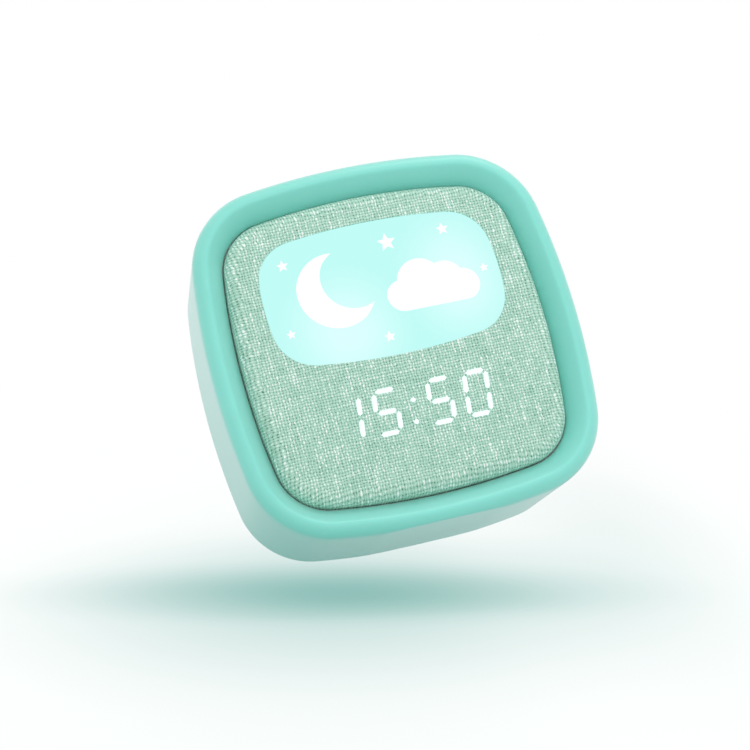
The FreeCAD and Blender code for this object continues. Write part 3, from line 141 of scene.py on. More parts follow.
def corner_centre(first, second, size, towards):
    """The centre of a round corner that is tangent inside two bowed sides."""
    (x1, y1, r1), (x2, y2, r2) = first, second
    reach1, reach2 = r1 - size, r2 - size
    apart = math.hypot(x2 - x1, y2 - y1)
    along = (reach1 ** 2 - reach2 ** 2 + apart ** 2) / (2 * apart)
    aside = math.sqrt(reach1 ** 2 - along ** 2)
    ux, uy = (x2 - x1) / apart, (y2 - y1) / apart
    spots = [(x1 + along * ux - s * aside * uy, y1 + along * uy + s * aside * ux) for s in (-1, 1)]
    return max(spots, key=lambda p: towards[0] * p[0] + towards[1] * p[1])


def bowed_outline(sides, radii, corner, middle, steps=28, corner_steps=22):
    """Points and outward normals round four bowed sides and four round corners."""
    half, top, bottom = sides
    bows = [(half - radii[0], middle, radii[0]), (0, top - radii[1], radii[1]),
            (radii[0] - half, middle, radii[0]), (0, bottom + radii[2], radii[2])]
    towards = [(1, 1), (-1, 1), (-1, -1), (1, -1)]
    corners = [corner_centre(bows[i], bows[(i + 1) % 4], corner, towards[i]) for i in range(4)]

    def heading(centre, spot):
        return math.atan2(spot[1] - centre[1], spot[0] - centre[0])

    points, normals = [], []

    def sweep(x, y, radius, start, end, count):
        end += 2 * math.pi if end < start else 0
        for i in range(count):
            angle = start + (end - start) * i / count
            points.append((x + radius * math.cos(angle), y + radius * math.sin(angle)))
            normals.append((math.cos(angle), math.sin(angle)))

    for i, (x, y, radius) in enumerate(bows):
        start, end = heading((x, y), corners[i - 1]), heading((x, y), corners[i])
        sweep(x, y, radius, start, end, steps)
        following = bows[(i + 1) % 4]
        sweep(*corners[i], corner, end, heading(following, corners[i]), corner_steps)
    return np.array(points), np.array(normals)


CASE_POINTS, CASE_NORMALS = bowed_outline((CASE_HALF, CASE_HALF, -CASE_HALF), (SIDE_RADIUS,) * 3,
                                          CORNER_RADIUS, 0)


def inset_case(inset):
    """The case's outline, this far inside its widest line."""
    return CASE_POINTS - CASE_NORMALS * inset


# Meshes

def new_mesh(name, vertices, faces):
    """A piece from bench points in millimetres, stood up in the row frame."""
    mesh = bpy.data.meshes.new(name)
    mesh.from_pydata([BENCH_TO_ROW @ (Vector(v) * MM) for v in vertices], [], faces)
    mesh.validate()
    piece = bpy.data.objects.new(name, mesh)
    bpy.context.scene.collection.objects.link(piece)
    return piece


def outward(piece):
    """Merge doubles and turn every face outwards."""
    work = bmesh.new()
    work.from_mesh(piece.data)
    bmesh.ops.remove_doubles(work, verts=work.verts, dist=1e-6)
    bmesh.ops.recalc_face_normals(work, faces=work.faces)
    work.to_mesh(piece.data)
    work.free()


def smooth(piece, angle=35):
    piece.data.polygons.foreach_set("use_smooth", [True] * len(piece.data.polygons))
    piece.data.set_sharp_from_angle(angle=math.radians(angle))


def settle(piece):
    """Apply every modifier, so that the piece is one plain mesh."""
    evaluated = piece.evaluated_get(bpy.context.evaluated_depsgraph_get())
    mesh = bpy.data.meshes.new_from_object(evaluated)
    mesh.name = piece.name
    piece.modifiers.clear()
    piece.data = mesh


def cut_away(piece, cutter):
    """Cut one closed piece from another, and drop the cutter."""
    outward(cutter)
    modifier = piece.modifiers.new("cut", "BOOLEAN")
    modifier.object = cutter
    modifier.operation = "DIFFERENCE"
    modifier.solver = "EXACT"
    settle(piece)
    bpy.data.objects.remove(cutter)


class Tree:
    """A geometry tree with named inputs, and short ways to add nodes to it and to apply it."""

    def __init__(self, name, wanted):
        self.tree = bpy.data.node_groups.new(name, "GeometryNodeTree")
        face = self.tree.interface
        face.new_socket("Geometry", in_out="OUTPUT", socket_type="NodeSocketGeometry")
        face.new_socket("Geometry", in_out="INPUT", socket_type="NodeSocketGeometry")
        for label, kind in wanted.items():
            face.new_socket(label, in_out="INPUT", socket_type=kind)
        self.entry = self.tree.nodes.new("NodeGroupInput").outputs

    def add(self, kind, sockets=None, output=0, **settings):
        node = self.tree.nodes.new(kind)
        for key, content in settings.items():
            setattr(node, key, content)
        for key, content in (sockets or {}).items():
            socket = node.inputs[key]
            if isinstance(content, bpy.types.NodeSocket):
                self.tree.links.new(content, socket)
            else:
                socket.default_value = content
        return node.outputs[output]

    def finish(self, shape):
        """Make the result real and give it the finish that the tree is told."""
        real = self.add("GeometryNodeRealizeInstances", {"Geometry": shape})
        dressed = self.add("GeometryNodeSetMaterial", {"Geometry": real, "Material": self.entry["Finish"]})
        leave = self.tree.nodes.new("NodeGroupOutput")
        self.tree.links.new(dressed, leave.inputs[0])

    def apply(self, piece, **inputs):
        """Run the tree on a piece with these inputs, and keep the result as a plain mesh."""
        modifier = piece.modifiers.new("shape", "NODES")
        modifier.node_group = self.tree
        names = {item.name: item.identifier for item in self.tree.interface.items_tree
                 if item.item_type == "SOCKET" and item.in_out == "INPUT"}
        for label, content in inputs.items():
            modifier[names[label]] = content
        piece.update_tag()
        settle(piece)


def prism_faces(count):
    """Faces of a block whose low outline comes first and whose high one follows."""
    sides = [(i, (i + 1) % count, count + (i + 1) % count, count + i) for i in range(count)]
    return sides + [tuple(range(count))[::-1], tuple(range(count, 2 * count))]


def prism(name, outline, low, high):
    """A closed block over an outline of (x, y) points, from one height to another."""
    vertices = [(x, y, z) for z in (low, high) for x, y in outline]
    return new_mesh(name, vertices, prism_faces(len(outline)))


def dome_z(x, y, drop=0.0):
    """Height of the crowned front over a point of the face."""
    radius = DOME_RADIUS - drop
    return CASE_DEPTH - DOME_RADIUS + math.sqrt(radius ** 2 - x * x - y * y)


# The soft skin

def arc_points(centre, radius, start, end, count):
    """Points along an arc, from one angle in degrees to another."""
    return [(centre[0] + radius * math.cos(math.radians(start + (end - start) * i / count)),
             centre[1] + radius * math.sin(math.radians(start + (end - start) * i / count)))
            for i in range(count + 1)]


def skin_profile():
    """The skin's section as (inset, z): up the side, over the rim, and back inside."""
    taper = math.tan(LEAN)

    def wall(z, skin=0.0):
        return skin + (WIDEST - z) * taper

    side = [(wall(z), z) for z in np.linspace(BACK_ROUND, WIDEST, 9)]
    middle = (wall(BACK_ROUND) + BACK_ROUND, BACK_ROUND)
    back = arc_points(middle, BACK_ROUND, 270, 180 - WALL_TAPER * 0.5, 14)
    front = arc_points((FRONT_ROUND, WIDEST), FRONT_ROUND, 180, 92, 12)
    slope = []
    for part in np.linspace(0, 1, 19)[1:]:
        fall = (math.hypot(part, RIM_EASE) - RIM_EASE) / (math.hypot(1, RIM_EASE) - RIM_EASE)
        slope.append((FRONT_ROUND + (RIM_WIDTH - FRONT_ROUND) * part, CASE_DEPTH - RIM_RISE * fall))
    lip = [(RIM_WIDTH, SEAT + RIM_LIP * 0.5), (RIM_WIDTH, SEAT)]
    inner = [(wall(z, SKIN_WALL), z) for z in np.linspace(SEAT, BACK_ROUND, 7)]
    corner = [(wall(BACK_ROUND, BACK_ROUND), SKIN_WALL), (COVER_INSET, SKIN_WALL)]
    edge = arc_points((COVER_INSET - SKIN_EDGE, SKIN_EDGE), SKIN_EDGE, 0, -90, 4)
    return edge + back[1:-1] + side + front[1:] + slope + lip + inner + corner


def closed_line(name, points):
    """A closed run of edges through (x, y, z) points in metres."""
    mesh = bpy.data.meshes.new(name)
    count = len(points)
    mesh.from_pydata(points, [(i, (i + 1) % count) for i in range(count)], [])
    piece = bpy.data.objects.new(name, mesh)
    bpy.context.scene.collection.objects.link(piece)
    return piece


def sweep_tree():
    """Carry a section round an outline, with the section's x axis pointing inwards."""
    tree = Tree("sweep round the case", {"Section": "NodeSocketObject", "Finish": "NodeSocketMaterial"})
    path = tree.add("GeometryNodeMeshToCurve", {"Mesh": tree.entry["Geometry"]})
    path = tree.add("GeometryNodeSetCurveNormal", {"Curve": path}, mode="Z_UP")
    section = tree.add("GeometryNodeObjectInfo", {"Object": tree.entry["Section"]}, output="Geometry")
    section = tree.add("GeometryNodeMeshToCurve", {"Mesh": section})
    swept = tree.add("GeometryNodeCurveToMesh", {"Curve": path, "Profile Curve": section})
    tree.finish(swept)
    return tree


def silicone_skin():
    """The skin: its section swept round the case, with the way of the top button cut through."""
    section = closed_line("skin section", [(-inset * MM, -z * MM, 0) for inset, z in skin_profile()])
    skin = closed_line("soft_skin", [(x * MM, y * MM, 0) for x, y in CASE_POINTS])
    sweep_tree().apply(skin, Section=section, Finish=MADE["mint_silicone"])
    bpy.data.objects.remove(section)
    skin.data.transform(BENCH_TO_ROW)
    outward(skin)
    way = stadium(SNOOZE_LENGTH, SNOOZE_WIDTH)
    heights = (CASE_HALF - SNOOZE_WAY_DEPTH, CASE_HALF + SNOOZE_WAY_OVER)
    walls = [(x, y, SNOOZE_Z + z) for y in heights for x, z in way]
    cut_away(skin, new_mesh("way", walls, prism_faces(len(way))))
    for vertex in skin.data.vertices:
        vertex.co.z = max(vertex.co.z, 0.0)
    smooth(skin, 40)
    return skin


def stadium(length, width, steps=16):
    """The outline of a slot with round ends."""
    radius, reach = width / 2, (length - width) / 2
    return arc_points((reach, 0), radius, -90, 90, steps) + arc_points((-reach, 0), radius, 90, 270, steps)


# The woven front

def fabric_front():
    """The crowned cloth, rolled over at its edge, with the window cut out of it."""

    def shell(drop):
        """Rings from the rolled edge to near the middle, this far under the cloth's face."""
        edge = DOME_EDGE - drop
        flat = inset_case(CLOTH_INSET + drop + edge)
        made = []
        for angle in np.linspace(0, math.pi / 2, ROLL_RINGS):
            outline = inset_case(CLOTH_INSET + drop + edge * (1 - math.cos(angle)))
            fall = edge * (1 - math.sin(angle))
            made.append([(x, y, dome_z(fx, fy, drop) - fall) for (x, y), (fx, fy) in zip(outline, flat)])
        for share in np.linspace(1, 0, CROWN_RINGS)[1:-1]:
            inner = flat * share
            made.append([(x, y, dome_z(x, y, drop)) for x, y in inner])
        return made

    foot = SEAT + CLOTH_HEM
    outer = shell(0.0)
    inner = shell(CLOTH_THICK)
    outer_foot = [(x, y, foot) for x, y in inset_case(CLOTH_INSET)]
    inner_foot = [(x, y, foot) for x, y in inset_case(CLOTH_INSET + CLOTH_THICK)]
    count = len(CASE_POINTS)
    rings = inner[::-1] + [inner_foot, outer_foot] + outer
    vertices = [tuple(p) for ring in rings for p in ring]
    faces = []
    for r in range(len(rings) - 1):
        for i in range(count):
            j = (i + 1) % count
            faces.append((r * count + i, r * count + j, (r + 1) * count + j, (r + 1) * count + i))
    vertices += [(0, 0, dome_z(0, 0, CLOTH_THICK)), (0, 0, dome_z(0, 0))]
    last = (len(rings) - 1) * count
    for i in range(count):
        j = (i + 1) % count
        faces.append((j, i, len(vertices) - 2))
        faces.append((last + i, last + j, len(vertices) - 1))
    cloth = new_mesh("woven_front", vertices, faces)
    outward(cloth)
    window = bowed_outline(WINDOW_SIDES, WINDOW_RADII, WINDOW_CORNER, WINDOW_MID)[0]
    cut_away(cloth, prism("window_way", window, SEAT - 1, CASE_DEPTH + 1))
    lay_threads(cloth)
    smooth(cloth, 50)
    return cloth


def surface_place(x, y, z):
    """Where a point of the cloth lies on the flat cloth before it was pulled over the edge."""
    near = np.argmin((CASE_POINTS[:, 0] - x) ** 2 + (CASE_POINTS[:, 1] - y) ** 2)
    nx, ny = CASE_NORMALS[near]
    px, py = CASE_POINTS[near]
    inset = (px - x) * nx + (py - y) * ny - CLOTH_INSET
    if inset >= DOME_EDGE:
        return x, y
    inset = max(inset, 0.0)
    lean = math.asin(min(1.0, (DOME_EDGE - inset) / DOME_EDGE))
    along = DOME_EDGE * lean
    fx, fy = px - nx * (CLOTH_INSET + DOME_EDGE), py - ny * (CLOTH_INSET + DOME_EDGE)
    wall_top = dome_z(fx, fy) - DOME_EDGE
    along += max(0.0, wall_top - z)
    step = along * EDGE_STRETCH - (DOME_EDGE - inset)
    return x + nx * step, y + ny * step


def lay_threads(piece):
    """A UV map in metres along the cloth, so that the weave follows its surface."""
    row_to_bench = BENCH_TO_ROW.inverted()
    places = []
    for vertex in piece.data.vertices:
        x, y, z = row_to_bench @ vertex.co / MM
        places.append([value * MM for value in surface_place(x, y, z)])
    layer = piece.data.uv_layers.new(name="threads")
    for loop in piece.data.loops:
        layer.data[loop.index].uv = places[loop.vertex_index]


# The lens of the window

def smooth_lens():
    """The lens of the solid model, merged, with the crown's own normals over its front."""
    thing = frame["nodes"]["window_lens"]
    lens = bpy.data.objects.new("crowned_lens", thing.data.copy())
    lens.data.transform(thing.matrix_world)
    bpy.context.scene.collection.objects.link(lens)
    outward(lens)
    smooth(lens, 30)
    row_to_bench = BENCH_TO_ROW.inverted()
    centre = BENCH_TO_ROW @ (Vector((0, 0, CASE_DEPTH - DOME_RADIUS)) * MM)
    normals = [Vector(corner.vector) for corner in lens.data.corner_normals]
    for face in lens.data.polygons:
        for loop in face.loop_indices:
            spot = lens.data.vertices[lens.data.loops[loop].vertex_index].co
            x, y, z = row_to_bench @ spot / MM
            crown = (spot - centre).normalized()
            if face.normal.dot(crown) > 0.9 and abs(z - dome_z(x, y)) < 0.05:
                normals[loop] = crown
    lens.data.normals_split_custom_set(normals)
    return lens


# The lit figures

LIT = {"1": "bc", "5": "acdfg", "0": "abcdef"}
SHOWN = "1550"
DIGIT_X = [DISPLAY_X + pair * PAIR_OFFSET + side * DIGIT_PITCH / 2 for pair in (-1, 1) for side in (-1, 1)]


def leaned(x, y):
    """A point of the display after its lean to the right."""
    return x + y * math.tan(math.radians(DIGIT_SLANT)), DISPLAY_Y + y


def bar_points(x, name):
    """The outline of one bar of a figure that stands at x."""
    half_w, half_h = (DIGIT_WIDTH - SEGMENT_WIDTH) / 2, (DIGIT_HEIGHT - SEGMENT_WIDTH) / 2
    bar = SEGMENT_WIDTH / 2
    if name in "agd":
        y = {"a": half_h, "g": 0, "d": -half_h}[name]
        tip, shoulder = half_w - SEGMENT_GAP, half_w - SEGMENT_GAP - bar
        spots = [(-tip, y), (-shoulder, y - bar), (shoulder, y - bar), (tip, y),
                 (shoulder, y + bar), (-shoulder, y + bar)]
    else:
        across = half_w if name in "bc" else -half_w
        side = 1 if name in "bf" else -1
        near, far = SEGMENT_GAP, half_h - SEGMENT_GAP
        spots = [(across, side * near), (across + bar, side * (near + bar)),
                 (across + bar, side * (far - bar)), (across, side * far),
                 (across - bar, side * (far - bar)), (across - bar, side * (near + bar))]
    return [leaned(x + px, py) for px, py in spots]


def lit_figures():
    """Light that comes through the cloth, as thin shapes that lie on it."""
    shapes = [bar_points(x, name) for x, figure in zip(DIGIT_X, SHOWN) for name in LIT[figure]]
    for side in (-1, 1):
        dot = leaned(DISPLAY_X, side * COLON_SPREAD - COLON_DROP)
        shapes.append(arc_points(dot, COLON_DOT, 0, 345, 23))
    vertices, faces = [], []
    for shape in shapes:
        first = len(vertices)
        for lift in (0.0, GLOW_LIFT):
            vertices += [(x, y, dome_z(x, y) + lift) for x, y in shape]
        faces += [tuple(first + i for i in face) for face in prism_faces(len(shape))]
    figures = new_mesh("lit_figures", vertices, faces)
    outward(figures)
    lay_threads(figures)
    return figures


# Marks on the rear keys

KEY_Y = -13.5
KEY_X = {"clock": -24.0, "alarm": -12.0, "minus": 0.0, "plus": 12.0, "light": 24.0}
MARK_LINE = 0.45
MARK_DEPTH = 0.05


def stroke(start, end, line=MARK_LINE):
    """A straight stroke between two points, as an outline."""
    (x1, y1), (x2, y2) = start, end
    length = math.hypot(x2 - x1, y2 - y1)
    px, py = (y1 - y2) / length * line / 2, (x2 - x1) / length * line / 2
    return [(x1 - px, y1 - py), (x2 - px, y2 - py), (x2 + px, y2 + py), (x1 + px, y1 + py)]


def hoop(centre, radius, start, end, line=MARK_LINE, count=24):
    """A bent stroke about a centre, as short straight strokes."""
    spots = arc_points(centre, radius, start, end, count)
    return [stroke(spots[i], spots[i + 1], line) for i in range(count)]


def mark_shapes(name):
    """The strokes of a key's mark, as seen from the back."""
    if name == "clock":
        return hoop((0, 0), 1.7, 0, 360) + [stroke((0, -0.2), (0, 1.1)), stroke((-0.2, 0), (0.9, 0))]
    if name == "alarm":
        bell = hoop((0, 0.3), 1.2, 0, 180, count=16)
        bell += [stroke((-1.2, 0.35), (-1.5, -1.0)), stroke((1.2, 0.35), (1.5, -1.0))]
        return bell + [stroke((-1.85, -1.0), (1.85, -1.0)), stroke((-0.4, -1.6), (0.4, -1.6))]
    if name == "minus":
        return [stroke((-1.5, 0), (1.5, 0))]
    if name == "plus":
        return [stroke((-1.5, 0), (1.5, 0)), stroke((0, 0.22), (0, 1.5)), stroke((0, -0.22), (0, -1.5))]
    bulb = hoop((0, 0.5), 1.25, -50, 230, count=20)
    return bulb + [stroke((-0.75, -1.0), (0.75, -1.0)), stroke((-0.55, -1.6), (0.55, -1.6))]


def key_marks():
    """White marks let into the rear keys, each riding with its key."""
    for name, x in KEY_X.items():
        vertices, faces = [], []
        for shape in mark_shapes(name):
            first = len(vertices)
            outline = [(x - px, KEY_Y + py) for px, py in shape][::-1]
            vertices += [(px, py, z) for z in (0.0, MARK_DEPTH) for px, py in outline]
            faces += [tuple(first + i for i in face) for face in prism_faces(len(outline))]
        mark = new_mesh(name + "_mark", vertices, faces)
        for vertex in mark.data.vertices:
            vertex.co -= BENCH_TO_ROW.to_3x3() @ Vector((0, 0, MARK_DEPTH * MM / 2))
        outward(mark)
        dress(mark, "white_knob", body=name + "_key")


# Materials

def linear(*rgb):
    """A colour given as screen values from 0 to 255."""
    return tuple(((v / 255 + 0.055) / 1.055) ** 2.4 if v > 10 else v / 255 / 12.92 for v in rgb) + (1.0,)


class Finish:
    """A material and short ways to add nodes to it."""

    def __init__(self, name, **sockets):
        self.material = bpy.data.materials.new(name)
        self.material.use_nodes = True
        self.tree = self.material.node_tree
        self.shader = self.tree.nodes["Principled BSDF"]
        self.set(self.shader, sockets)

    def set(self, node, sockets):
        for key, content in sockets.items():
            socket = node.inputs[key if isinstance(key, int) else key.replace("_", " ")]
            if isinstance(content, bpy.types.NodeSocket):
                self.tree.links.new(content, socket)
            else:
                socket.default_value = content

    def add(self, kind, sockets=None, output=0, **settings):
        node = self.tree.nodes.new(kind)
        for key, content in settings.items():
            setattr(node, key, content)
        self.set(node, sockets or {})
        return node.outputs[output]

    def maths(self, operation, *values, clamp=False):
        return self.add("ShaderNodeMath", dict(enumerate(values)), operation=operation, use_clamp=clamp)

    def mix(self, share, first, second):
        return self.add("ShaderNodeMix", {0: share, 6: first, 7: second}, output=2, data_type="RGBA")

    def ramp(self, share, low, high):
        """Share of the way from low to high, held between 0 and 1."""
        return self.add("ShaderNodeMapRange", {0: share, 1: low, 2: high}, interpolation_type="SMOOTHSTEP")

    def noise(self, place, scale, detail=2.0, rough=0.5):
        return self.add("ShaderNodeTexNoise", {"Vector": place, "Scale": scale, "Detail": detail,
                                               "Roughness": rough})

    def place(self):
        return self.add("ShaderNodeTexCoord", output=3)

    def bump(self, height, distance, strength=1.0):
        normal = self.add("ShaderNodeBump", {"Height": height, "Distance": distance, "Strength": strength})
        self.set(self.shader, {"Normal": normal})


def silicone():
    """Matt mint silicone that lets a little light in."""
    finish = Finish("mint_silicone", Roughness=0.42, IOR=1.55, Sheen_Weight=0.75, Sheen_Roughness=0.4,
                    Coat_Weight=0.3, Coat_Roughness=0.35, Subsurface_Weight=0.35,
                    Subsurface_Radius=(1.0, 3.0, 2.6), Subsurface_Scale=0.0012)
    place = finish.place()
    broad = finish.noise(place, 22.0)
    shade = finish.mix(finish.ramp(broad, 0.35, 0.65), linear(130, 219, 206), linear(134, 222, 210))
    finish.set(finish.shader, {"Base Color": shade})
    grain = finish.noise(place, 5200.0, 3.0)
    finish.bump(grain, 0.00003, 0.35)
    return finish.material


def weave(finish, place):
    """Height of a plain weave of uneven threads, with slubs, over a place in metres."""
    drift = finish.add("ShaderNodeTexNoise", {"Vector": place, "Scale": 700.0, "Detail": 2.0}, output=1)
    moved = finish.add("ShaderNodeVectorMath", {0: drift, 1: (0.5, 0.5, 0.5)}, operation="SUBTRACT")
    moved = finish.add("ShaderNodeVectorMath", {0: moved, "Scale": 0.0012}, operation="SCALE")
    moved = finish.add("ShaderNodeVectorMath", {0: place, 1: moved}, operation="ADD")
    split = finish.add("ShaderNodeSeparateXYZ", {0: moved}).node
    across = finish.maths("DIVIDE", split.outputs[0], THREAD_PITCH * MM)
    up = finish.maths("DIVIDE", split.outputs[1], THREAD_PITCH * MM)
    wave_x = finish.maths("SINE", finish.maths("MULTIPLY", across, math.pi))
    wave_y = finish.maths("SINE", finish.maths("MULTIPLY", up, math.pi))
    over = finish.maths("MULTIPLY", wave_x, wave_y)
    warp_tone = thread_tone(finish, across, split.outputs[1], 1.0)
    weft_tone = thread_tone(finish, up, split.outputs[0], 7.0)
    round_x = finish.maths("POWER", finish.maths("ABSOLUTE", wave_x), 0.6)
    round_y = finish.maths("POWER", finish.maths("ABSOLUTE", wave_y), 0.6)
    warp = finish.maths("MULTIPLY", round_x, finish.maths("MULTIPLY_ADD", over, 0.42, 0.58))
    weft = finish.maths("MULTIPLY", round_y, finish.maths("MULTIPLY_ADD", over, -0.42, 0.58))
    warp = finish.maths("MULTIPLY", warp, finish.maths("MULTIPLY_ADD", warp_tone, 1.1, 0.45))
    weft = finish.maths("MULTIPLY", weft, finish.maths("MULTIPLY_ADD", weft_tone, 1.1, 0.4))
    height = finish.maths("MAXIMUM", warp, weft)
    streak = finish.add("ShaderNodeVectorMath", {0: moved, 1: (1100.0, 110.0, 0.0)}, operation="MULTIPLY")
    slub = finish.ramp(finish.noise(streak, 1.0, 2.0), 0.5, 0.7)
    return finish.maths("MULTIPLY_ADD", finish.maths("MULTIPLY", slub, warp), 0.6, height)


def thread_tone(finish, count, along, offset):
    """Uneven yarn: a value for each thread that drifts along it."""
    thread = finish.maths("FLOOR", count)
    spot = finish.add("ShaderNodeCombineXYZ", {0: finish.maths("MULTIPLY", thread, 3.7),
                                               1: finish.maths("MULTIPLY", along, 140.0), 2: offset})
    return finish.noise(spot, 1.0, 1.0)


def cloth(lit=False):
    """The mint cloth, with painted shade in the pits between its threads and a painted highlight on its
    highest thread tops, or the same cloth with light behind it.
    """
    finish = Finish("lit_cloth" if lit else "mint_cloth", Roughness=0.9, Sheen_Weight=0.15,
                    Sheen_Roughness=0.6, Specular_IOR_Level=0.2)
    place = finish.add("ShaderNodeUVMap", uv_map="threads")
    height = weave(finish, place)
    lightness = finish.ramp(height, 0.12, 0.5)
    if lit:
        finish.set(finish.shader, {"Base Color": linear(90, 120, 112), "Emission Strength": 1.0,
                                   "Emission Color": finish.mix(lightness, linear(205, 240, 232),
                                                                linear(243, 255, 252))})
    else:
        # Painted shade: the low pits between the threads are coloured dark green.
        shade = finish.mix(lightness, linear(34, 100, 76), linear(168, 212, 193))
        # Painted highlight: the highest thread tops are coloured near white.
        shade = finish.mix(finish.ramp(height, 0.66, 1.2), shade, linear(246, 255, 252))
        finish.set(finish.shader, {"Base Color": shade})
    finish.bump(height, 0.00016, 0.8)
    return finish.material


def lit_window():
    """The glowing lens: mint at its edges, paler over the lamps behind it."""
    finish = Finish("lit_window", Roughness=0.18, Base_Color=linear(40, 60, 58))
    place = finish.place()
    pale = None
    for x, y, width, height in ((-15, 6, 24, 24), (24, 16, 22, 26)):
        centre = BENCH_TO_ROW @ (Vector((x, y, CASE_DEPTH)) * MM)
        offset = finish.add("ShaderNodeVectorMath", {0: place, 1: centre}, operation="SUBTRACT")
        offset = finish.add("ShaderNodeVectorMath", {0: offset, 1: (1000 / width, 0, 1000 / height)},
                            operation="MULTIPLY")
        far = finish.add("ShaderNodeVectorMath", {0: offset}, output=1, operation="LENGTH")
        glow = finish.maths("SUBTRACT", 1.0, finish.ramp(far, 0.1, 1.0))
        pale = finish.maths("MAXIMUM", pale, glow) if pale else glow
    soft = finish.noise(place, 35.0)
    pale = finish.maths("MULTIPLY", pale, finish.maths("MULTIPLY_ADD", soft, 0.5, 0.75), clamp=True)
    light = finish.mix(pale, linear(181, 240, 235), linear(209, 246, 243))
    finish.set(finish.shader, {"Emission Color": light, "Emission Strength": 1.0})
    finish.bump(finish.noise(place, 900.0), 0.00002, 0.2)
    return finish.material


def opal():
    """The opal figures in the window, lit from behind."""
    finish = Finish("opal_white", Roughness=0.25, Base_Color=linear(60, 66, 65))
    place = finish.place()
    tone = finish.noise(place, 120.0)
    light = finish.mix(tone, linear(246, 255, 253), linear(255, 255, 255))
    finish.set(finish.shader, {"Emission Color": light, "Emission Strength": 0.97})
    return finish.material


def moulded(name, low, high, roughness=0.45, grain=0.00003):
    """Moulded plastic: a faint colour drift under a fine even grain."""
    finish = Finish(name, Roughness=roughness)
    place = finish.place()
    shade = finish.mix(finish.ramp(finish.noise(place, 30.0), 0.35, 0.65), linear(*low), linear(*high))
    finish.set(finish.shader, {"Base Color": shade})
    finish.bump(finish.noise(place, 4200.0, 3.0), grain, 0.5)
    return finish.material


def metal(name, low, high, roughness=0.3):
    """Plated metal with a fine uneven sheen."""
    finish = Finish(name, Metallic=1.0)
    place = finish.place()
    tone = finish.noise(place, 700.0, 4.0)
    finish.set(finish.shader, {"Base Color": finish.mix(tone, linear(*low), linear(*high)),
                               "Roughness": finish.maths("MULTIPLY_ADD", tone, 0.2, roughness - 0.1)})
    return finish.material


MADE = {}


def finishes():
    """Every finish of the clock, by the name of its slot."""
    MADE.update({
        "mint_silicone": silicone(),
        "mint_cloth": cloth(),
        "lit_digits": cloth(lit=True),
        "lit_window": lit_window(),
        "opal_white": opal(),
        "white_abs": moulded("white_abs", (232, 235, 233), (240, 242, 240)),
        "mint_abs": moulded("mint_abs", (116, 208, 196), (124, 214, 202)),
        "white_board": moulded("white_board", (226, 230, 226), (236, 239, 236), 0.3),
        "led_chip": moulded("led_chip", (240, 226, 150), (248, 238, 180), 0.3),
        "dark_digits": moulded("dark_digits", (140, 150, 148), (156, 166, 164)),
        "black_plastic": moulded("black_plastic", (30, 32, 34), (44, 46, 48)),
        "green_board": moulded("green_board", (22, 84, 52), (34, 104, 68), 0.3),
        "steel": metal("steel", (170, 172, 176), (206, 208, 212)),
        "white_knob": moulded("white_knob", (236, 238, 236), (246, 247, 246)),
        "cream_plastic": moulded("cream_plastic", (222, 216, 194), (236, 230, 210)),
        "black_foam": moulded("black_foam", (30, 31, 33), (52, 53, 55), 0.9, 0.0001),
        "black_paper": moulded("black_paper", (28, 28, 30), (42, 42, 44), 0.8, 0.0001),
        "battery_wrap": moulded("battery_wrap", (46, 122, 176), (58, 136, 190), 0.25),
    })


def dress_nodes():
    """Give each node of the frame the finish of its slot."""
    slots = {part["node"]: part["material_slot"] for part in frame["record"]["subparts"]}
    for node, thing in frame["nodes"].items():
        for place in thing.material_slots:
            place.link = "DATA"
            place.material = MADE[slots[node]]
        if not thing.material_slots:
            thing.data.materials.append(MADE[slots[node]])


def dress(piece, slot, body="housing", replaces=()):
    """Give a piece the finish of its slot and its body, and hide the nodes that it stands for."""
    piece.data.materials.clear()
    piece.data.materials.append(MADE[slot])
    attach(piece, body)
    if replaces:
        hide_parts(*replaces)


# Studio

CAMERA_PLACE = (-200.0, -208.9, 797.2)
CAMERA_HEADING = (0.2387, 0.2503, -0.9383)
CAMERA_UP = (0.2024, 0.9322, 0.3001)
CAMERA_LENS = 122.65
CAMERA_RISE = math.radians(4.0)
FLOOR_DROP = 0.0765
FLOOR_RADIUS = 1.6
FLOOR_BOUNCE = 0.76
KEY_LEAN = 0.28
KEY_POWER = 1.8
FRONT_POWER = 2.7
LOW_POWER = 0.9
AMBIENT = 0.84


def row_direction(bench):
    """A direction of the bench, as it is in the row."""
    return (BENCH_TO_ROW.to_3x3() @ Vector(bench)).normalized()


def camera():
    """The photograph's camera, and which ways are ahead, up and right for it."""
    data = bpy.data.cameras.new("camera")
    data.lens = CAMERA_LENS
    data.sensor_width = 36.0
    ahead, up = row_direction(CAMERA_HEADING), row_direction(CAMERA_UP)
    right = ahead.cross(up).normalized()
    up = right.cross(ahead)
    made = bpy.data.objects.new("camera", data)
    place = BENCH_TO_ROW @ (Vector(CAMERA_PLACE) * MM)
    made.matrix_world = Matrix.Translation(place) @ Matrix((right, up, -ahead)).transposed().to_4x4()
    bpy.context.scene.collection.objects.link(made)
    bpy.context.scene.camera = made
    return ahead, up, right


def lamp(name, aim, back, size, power, colour=(1, 1, 1)):
    """A round soft lamp that looks along aim at the clock's middle, from this far back."""
    data = bpy.data.lights.new(name, "AREA")
    data.shape = "DISK"
    data.size = size
    data.energy = power
    data.color = colour
    made = bpy.data.objects.new(name, data)
    heading = Vector(aim).normalized()
    centre = (cad_box[0] + cad_box[1]) / 2
    turn = heading.to_track_quat("-Z", "Y").to_matrix().to_4x4()
    made.matrix_world = Matrix.Translation(centre - heading * back) @ turn
    bpy.context.scene.collection.objects.link(made)


